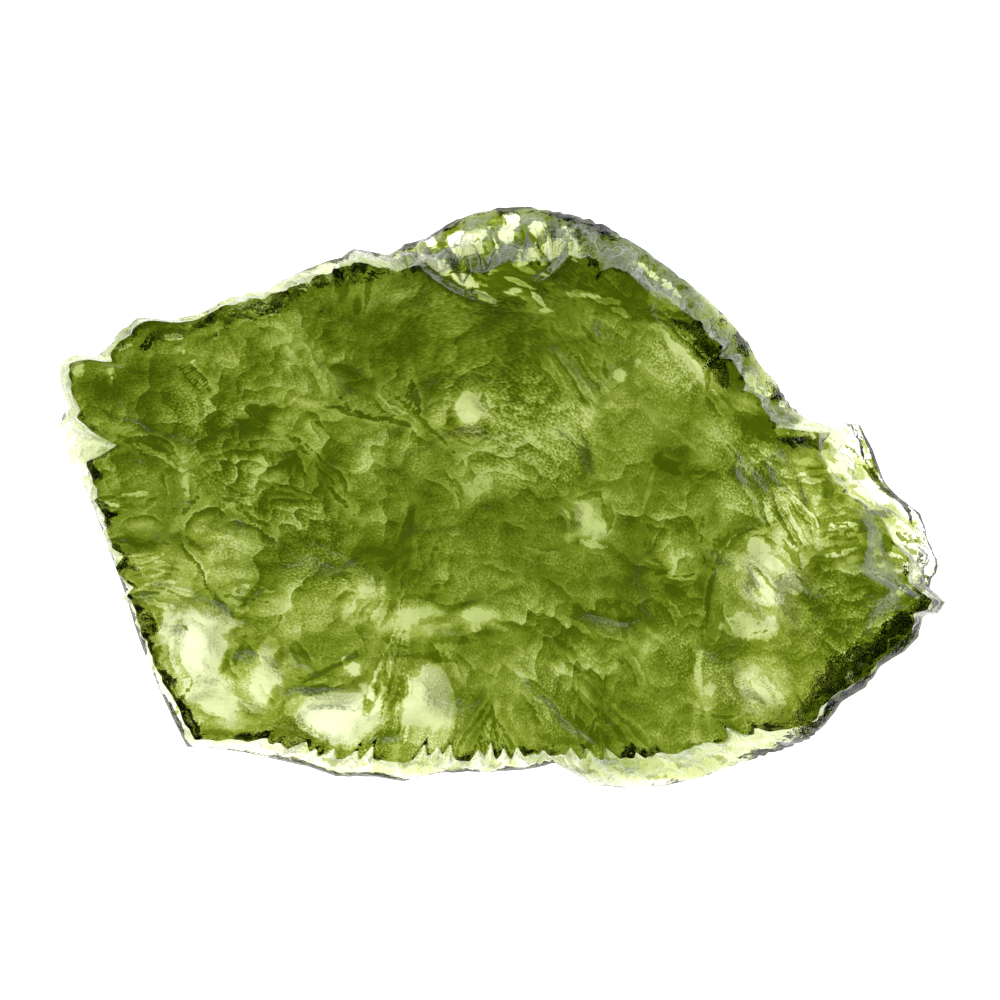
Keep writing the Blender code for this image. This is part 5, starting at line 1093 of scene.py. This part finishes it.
def scallops(nodes, vector, scale):
    """One size of etched scallops, as painted shade and highlight: from -1 on each one's dark side to 1 on
    its bright side, how far a place lies from its cell's middle along the light's direction, times the
    cells' scale."""
    cell = nodes.new("ShaderNodeTexVoronoi")
    cell.voronoi_dimensions = "2D"
    cell.inputs["Scale"].default_value = scale
    link(nodes, *vector, cell, "Vector")
    offset = nodes.new("ShaderNodeVectorMath")
    offset.operation = "SUBTRACT"
    link(nodes, *vector, offset, 0)
    link(nodes, cell, "Position", offset, 1)
    along = nodes.new("ShaderNodeVectorMath")
    along.operation = "DOT_PRODUCT"
    link(nodes, offset, "Vector", along, 0)
    along.inputs[1].default_value = (scale * SCALLOP_LIGHT[0], scale * SCALLOP_LIGHT[1], 0.0)
    return along, "Value"


def fine_clearness_and_painted_light(nodes, glass):
    """Clearness finer than the mesh: three sizes of scallops on bent coordinates, as painted shade and
    highlight, each strong in some places and faint in others, and specks, which are strongest in dull
    mottled patches."""
    vector = drawn_out(nodes)
    bend = noise_node(nodes, vector, glass.bend_scale, 2.0)
    bent = nodes.new("ShaderNodeVectorMath")
    bent.operation = "MULTIPLY_ADD"
    bent.inputs[1].default_value = (glass.bend_reach,) * 3
    link(nodes, bend, "Color", bent, 0)
    link(nodes, *vector, bent, 2)
    mottle = nodes.new("ShaderNodeSeparateColor")
    link(nodes, noise_node(nodes, vector, glass.mottle_scale, 1.0), "Color", mottle, "Color")
    grain = noise_node(nodes, vector, glass.grain_scale, 2.0)
    specks = noise_node(nodes, vector, glass.speck_scale, 1.0)
    clear = (attribute_node(nodes, "clearness_and_painted_light"), "Fac")
    etching = (attribute_node(nodes, "etching"), "Fac")
    strengths = (glass.large_scallops, glass.small_scallops, glass.tiny_scallops)
    for ratio, strength, place in zip(SCALLOP_RATIOS, strengths, ("Red", "Green", "Red")):
        slope, start = SCALLOP_MOTTLE
        share = math_node(nodes, "MULTIPLY_ADD", (mottle, place), slope * strength, start * strength)
        share = math_node(nodes, "MAXIMUM", share, LEAST_SCALLOPS * strength)
        share = math_node(nodes, "MULTIPLY", share, etching)
        # Painted shade and highlight across each scallop, by the light's direction.
        along = scallops(nodes, (bent, "Vector"), glass.scallop_scale * ratio)
        clear = math_node(nodes, "MULTIPLY_ADD", along, share, clear)
    least, greatest = DULL_RANGE
    dull = math_node(nodes, "MULTIPLY_ADD", (mottle, "Blue"), *DULL_MOTTLE)
    dull = math_node(nodes, "MULTIPLY", math_node(nodes, "MAXIMUM", dull, least), etching)
    dull = math_node(nodes, "MINIMUM", dull, greatest)
    contrast = glass.speck_contrast
    rough = math_node(nodes, "MULTIPLY_ADD", (specks, "Fac"), contrast, -SPECK_MIDDLE * contrast)
    clear = math_node(nodes, "MULTIPLY_ADD", dull, rough, clear)
    return marked(nodes, clear, grain, glass)


def clamped(nodes, value, low, high):
    """A value mapped from low and high to 0 and 1 on a straight line, and held between them."""
    ramp = nodes.new("ShaderNodeMapRange")
    ramp.inputs["From Min"].default_value = low
    ramp.inputs["From Max"].default_value = high
    link(nodes, *value, ramp, "Value")
    return ramp, "Result"


def marked(nodes, clear, grain, glass):
    """Clearness with the marks added: ragged patches of tone and painted highlight, and strokes of painted
    shading that change it by their step on their right, fading away from it, and a little the other way on
    their left."""
    reach_out = glass.raggedness
    ragged = math_node(nodes, "MULTIPLY_ADD", (grain, "Fac"), reach_out, -0.5 * reach_out)
    # Patches: the skin's tone and painted highlights on facets, with crisp edges.
    depth = (attribute_node(nodes, "patch_depth"), "Fac")
    depth = math_node(nodes, "MULTIPLY_ADD", ragged, PATCH_RAGGEDNESS, depth)
    step = (attribute_node(nodes, "patch_step"), "Fac")
    clear = math_node(nodes, "MULTIPLY_ADD", clamped(nodes, depth, 0.0, PATCH_EDGE), step, clear)
    # Strokes: painted shading on the right of each edge, and a little of the opposite on its left.
    depth = math_node(nodes, "ADD", ragged, (attribute_node(nodes, "line_depth"), "Fac"))
    step = (attribute_node(nodes, "line_step"), "Fac")
    right = clamped(nodes, depth, -STROKE_EDGE, STROKE_EDGE)
    inner = math_node(nodes, "MULTIPLY", right, clamped(nodes, depth, STROKE_WIDTH, 0.0))
    left = math_node(nodes, "SUBTRACT", 1.0, right)
    outer = math_node(nodes, "MULTIPLY", left, clamped(nodes, depth, -0.5 * STROKE_WIDTH, 0.0))
    both = math_node(nodes, "MULTIPLY_ADD", outer, STROKE_BACK, inner)
    return math_node(nodes, "MULTIPLY_ADD", both, step, clear)


def attribute_node(nodes, name):
    """Reads one of the stone's own numbers."""
    node = nodes.new("ShaderNodeAttribute")
    node.attribute_name = name
    return node


def green_glass(glass):
    """Green glass: light is lost in its depth by plain absorption, its skin is satin above and duller
    below, its tint follows the clearness with its painted light and shade, and a fine grain roughens it."""
    material = bpy.data.materials.new("green_glass")
    material.use_nodes = True
    nodes = material.node_tree.nodes
    shader = nodes["Principled BSDF"]
    shader.inputs["Metallic"].default_value = 0.0
    shader.inputs["Transmission Weight"].default_value = 1.0
    shader.inputs["IOR"].default_value = glass.ior
    depth = nodes.new("ShaderNodeVolumeAbsorption")
    depth.inputs["Color"].default_value = (*glass.kept_colour, 1.0)
    depth.inputs["Density"].default_value = glass.density
    link(nodes, depth, "Volume", nodes["Material Output"], "Volume")

    satin = nodes.new("ShaderNodeMapRange")
    satin.inputs["To Min"].default_value = glass.upper_roughness
    satin.inputs["To Max"].default_value = glass.under_roughness
    link(nodes, attribute_node(nodes, "underside"), "Fac", satin, "Value")
    link(nodes, satin, "Result", shader, "Roughness")

    clear = fine_clearness_and_painted_light(nodes, glass)
    tint = nodes.new("ShaderNodeValToRGB")
    stops = tint.color_ramp.elements
    for _ in range(len(TINT_STOPS) - len(stops)):
        stops.new(0.5)
    for stop, (place, loss) in zip(stops, TINT_STOPS):
        stop.position = place
        stop.color = (*(math.exp(-SKIN_PASSES * loss * k) for k in glass.loss_colour), 1.0)
    link(nodes, *clear, tint, "Fac")
    link(nodes, tint, "Color", shader, "Base Color")

    place = (nodes.new("ShaderNodeTexCoord"), "Object")
    grain = noise_node(nodes, place, glass.grain_scale, 1.0)
    bump = nodes.new("ShaderNodeBump")
    bump.inputs["Strength"].default_value = glass.grain_strength
    bump.inputs["Distance"].default_value = glass.grain_depth
    link(nodes, grain, "Fac", bump, "Height")
    link(nodes, bump, "Normal", shader, "Normal")
    return material


def link_object(name, mesh, material):
    """A new object for a mesh, at the origin, with its material."""
    mesh.materials.append(material)
    piece = bpy.data.objects.new(name, mesh)
    bpy.context.scene.collection.objects.link(piece)
    return piece


class StoneShape(bpy.types.PropertyGroup):
    """How strongly each kind of relief is cut."""

    upper_relief: bpy.props.FloatProperty(
        name="Upper etching", description="How deep the upper face is etched", default=0.8, unit="NONE")
    under_relief: bpy.props.FloatProperty(
        name="Lower etching", description="How deep the underside is etched", default=0.4, unit="NONE")
    wall_relief: bpy.props.FloatProperty(
        name="Wall relief", description="How deep the wall is dented", default=1.0, unit="NONE")
    pit_depth: bpy.props.FloatProperty(
        name="Pit depth", description="How deep the small pits are cut", default=0.35, unit="NONE")
    furrow_depth: bpy.props.FloatProperty(
        name="Furrow depth", description="How deep the furrows are cut", default=0.25, unit="NONE")
    swell: bpy.props.FloatProperty(
        name="Swell", description="Height of the slow swell under the etching",
        default=0.00025, unit="LENGTH", precision=5)


class GlassLook(bpy.types.PropertyGroup):
    """Colour, clearness and polish of the glass."""

    kept_colour: bpy.props.FloatVectorProperty(
        name="Kept colour", description="Light that the glass keeps, by colour",
        default=(0.448, 0.524, 0.0), subtype="COLOR", min=0.0, max=1.0)
    density: bpy.props.FloatProperty(
        name="Density", description="How fast light is lost, per metre", default=450.0)
    ior: bpy.props.FloatProperty(name="IOR", description="Index of refraction", default=1.49)
    upper_roughness: bpy.props.FloatProperty(
        name="Upper roughness", description="Roughness of the upper face", default=0.14, subtype="FACTOR")
    under_roughness: bpy.props.FloatProperty(
        name="Lower roughness", description="Roughness of the underside", default=0.5, subtype="FACTOR")
    loss_colour: bpy.props.FloatVectorProperty(
        name="Skin loss", description="How fast the skin's tint takes each colour",
        default=(1.16, 1.0, 2.8), min=0.0)
    skin_clearness: bpy.props.FloatProperty(
        name="Skin clearness", description="Clearness of the plain etched skin",
        default=0.5, subtype="FACTOR")
    wall_clearness: bpy.props.FloatProperty(
        name="Wall clearness", description="Clearness of the plain wall", default=0.9, subtype="FACTOR")
    # Strengths of the painted light from hollows and ridges, and of the painted shade on slopes.
    fine_contrast: bpy.props.FloatProperty(
        name="Fine contrast", description="Clearness per metre of small depth", default=1300.0)
    broad_contrast: bpy.props.FloatProperty(
        name="Broad contrast", description="Clearness per metre of broad depth", default=150.0)
    painted_slope_shade: bpy.props.FloatProperty(
        name="Slope contrast", description="Clearness per unit of slope", default=0.3)
    scallop_scale: bpy.props.FloatProperty(
        name="Scallop scale", description="Largest scallops per metre", default=450.0)
    # Strengths of the painted shade and highlight across the scallops.
    large_scallops: bpy.props.FloatProperty(
        name="Large scallops", description="Clearness across the largest scallops", default=0.2)
    small_scallops: bpy.props.FloatProperty(
        name="Small scallops", description="Clearness across the small scallops", default=0.4)
    tiny_scallops: bpy.props.FloatProperty(
        name="Tiny scallops", description="Clearness across the smallest scallops", default=0.35)
    bend_scale: bpy.props.FloatProperty(
        name="Bend scale", description="Bends of the scallops' edges per metre", default=700.0)
    bend_reach: bpy.props.FloatProperty(
        name="Bend reach", description="How far the scallops' edges are bent",
        default=0.0012, unit="LENGTH", precision=5)
    mottle_scale: bpy.props.FloatProperty(
        name="Mottle scale", description="Dull patches per metre", default=220.0)
    speck_contrast: bpy.props.FloatProperty(
        name="Speck contrast", description="Clearness of the specks in dull patches", default=2.1)
    speck_scale: bpy.props.FloatProperty(
        name="Speck scale", description="Specks per metre", default=15000.0)
    raggedness: bpy.props.FloatProperty(
        name="Raggedness", description="How far the grain moves the edges of marks, in millimetres",
        default=0.16)
    grain_scale: bpy.props.FloatProperty(
        name="Grain scale", description="Grains per metre", default=7000.0)
    grain_strength: bpy.props.FloatProperty(
        name="Grain strength", description="How strongly the grain shows", default=0.5, subtype="FACTOR")
    grain_depth: bpy.props.FloatProperty(
        name="Grain depth", description="Height of the grain", default=0.00006, unit="LENGTH", precision=6)


class StageLook(bpy.types.PropertyGroup):
    """The light table, the light round it and the camera."""

    floor_size: bpy.props.FloatProperty(
        name="Floor size", description="Side of the floor", default=1.2, unit="LENGTH")
    floor_glow: bpy.props.FloatProperty(
        name="Floor glow", description="Brightness of the light table", default=2.0)
    horizon_grey: bpy.props.FloatProperty(
        name="Horizon", description="Brightness of the room at the horizon", default=0.3)
    zenith_grey: bpy.props.FloatProperty(
        name="Zenith", description="Brightness of the room overhead", default=0.03)
    glow_height: bpy.props.FloatProperty(
        name="Glow height", description="Height up to which the room is brighter, as a sine",
        default=0.35, subtype="FACTOR")
    camera_lens: bpy.props.FloatProperty(
        name="Lens", description="Focal length of the camera", default=120.0, unit="CAMERA")
    picture_width: bpy.props.FloatProperty(
        name="Picture width", description="Width of the picture at the stone's middle",
        default=0.03774, unit="LENGTH", precision=5)


class MOLDAVITE_OT_stone(bpy.types.Operator):
    """Makes the visible stone"""

    bl_idname = "moldavite.stone"
    bl_label = "Stone"

    def execute(self, context):
        shape, glass = context.scene.stone_shape, context.scene.glass_look
        points, faces, (upper_count, foot_start) = stone_skin(shape)
        points = fitted(points)
        mesh = mesh_from("moldavite_glass", points, faces)
        underside = np.ones(len(points))
        underside[:foot_start] = 0.0
        set_attribute(mesh, "underside", underside)
        # Clearness, which holds painted light and shade as well as the skin's own tone.
        set_attribute(mesh, "clearness_and_painted_light", clearness_and_painted_light(points, upper_count, foot_start, glass))
        # Patches and strokes: tone, painted highlights and painted shading.
        for name, values in marks(points, upper_count, foot_start).items():
            set_attribute(mesh, name, values)
        piece = link_object("moldavite_glass", mesh, green_glass(glass))
        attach(piece, "root")
        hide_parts("moldavite")
        return {"FINISHED"}


def glowing(strength):
    """An even white glow."""
    material = bpy.data.materials.new("light_table")
    material.use_nodes = True
    nodes = material.node_tree.nodes
    nodes.clear()
    glow = nodes.new("ShaderNodeEmission")
    glow.inputs["Strength"].default_value = strength
    link(nodes, glow, "Emission", nodes.new("ShaderNodeOutputMaterial"), "Surface")
    return material


def soft_room(look):
    """A room that is bright at the horizon and darker overhead."""
    world = bpy.data.worlds.new("soft_room")
    world.use_nodes = True
    nodes = world.node_tree.nodes
    place = nodes.new("ShaderNodeTexCoord")
    apart = nodes.new("ShaderNodeSeparateXYZ")
    ramp = nodes.new("ShaderNodeValToRGB")
    ramp.color_ramp.elements[0].color = (look.horizon_grey,) * 3 + (1.0,)
    ramp.color_ramp.elements[1].color = (look.zenith_grey,) * 3 + (1.0,)
    ramp.color_ramp.elements[1].position = look.glow_height
    link(nodes, place, "Generated", apart, "Vector")
    link(nodes, apart, "Z", ramp, "Fac")
    link(nodes, ramp, "Color", nodes["Background"], "Color")
    return world


class MOLDAVITE_OT_stage(bpy.types.Operator):
    """Makes the light table, the light and the camera"""

    bl_idname = "moldavite.stage"
    bl_label = "Stage"

    def execute(self, context):
        look = context.scene.stage_look
        half = look.floor_size / 2
        sides = ((-half, -half), (half, -half), (half, half), (-half, half))
        corners = np.array([(x, y, -TABLE_GAP) for x, y in sides])
        mesh = mesh_from("light_table", corners, [np.array([[0, 1, 2, 3]])])
        link_object("light_table", mesh, glowing(look.floor_glow))
        context.scene.world = soft_room(look)
        context.scene.view_settings.view_transform = "Standard"

        data = bpy.data.cameras.new("camera")
        data.lens = look.camera_lens
        data.clip_start = 1 * MM
        camera = bpy.data.objects.new("camera", data)
        middle = (HIGH_CORNER.z + LOW_CORNER.z) / 2
        distance = look.picture_width * data.lens / data.sensor_width
        camera.location = (0.0, 0.0, middle + distance)
        context.scene.collection.objects.link(camera)
        context.scene.camera = camera
        return {"FINISHED"}


class MOLDAVITE_PT_panel(bpy.types.Panel):
    """Lists the sizes, the colours and the two operators"""

    bl_label = "Moldavite"
    bl_space_type = "VIEW_3D"
    bl_region_type = "UI"
    bl_category = "Moldavite"

    def draw(self, context):
        scene = context.scene
        for group in (scene.stone_shape, scene.glass_look, scene.stage_look):
            for name in group.__annotations__:
                self.layout.prop(group, name)
        self.layout.operator(MOLDAVITE_OT_stone.bl_idname)
        self.layout.operator(MOLDAVITE_OT_stage.bl_idname)


CLASSES = (
    StoneShape, GlassLook, StageLook, MOLDAVITE_OT_stone, MOLDAVITE_OT_stage, MOLDAVITE_PT_panel,
)


def register():
    for kind in CLASSES:
        bpy.utils.register_class(kind)
    bpy.types.Scene.stone_shape = bpy.props.PointerProperty(type=StoneShape)
    bpy.types.Scene.glass_look = bpy.props.PointerProperty(type=GlassLook)
    bpy.types.Scene.stage_look = bpy.props.PointerProperty(type=StageLook)


def unregister():
    del bpy.types.Scene.stone_shape
    del bpy.types.Scene.glass_look
    del bpy.types.Scene.stage_look
    for kind in reversed(CLASSES):
        bpy.utils.unregister_class(kind)


def main():
    register()
    bpy.ops.moldavite.stone()
    bpy.ops.moldavite.stage()


if __name__ == "__main__":
    main()
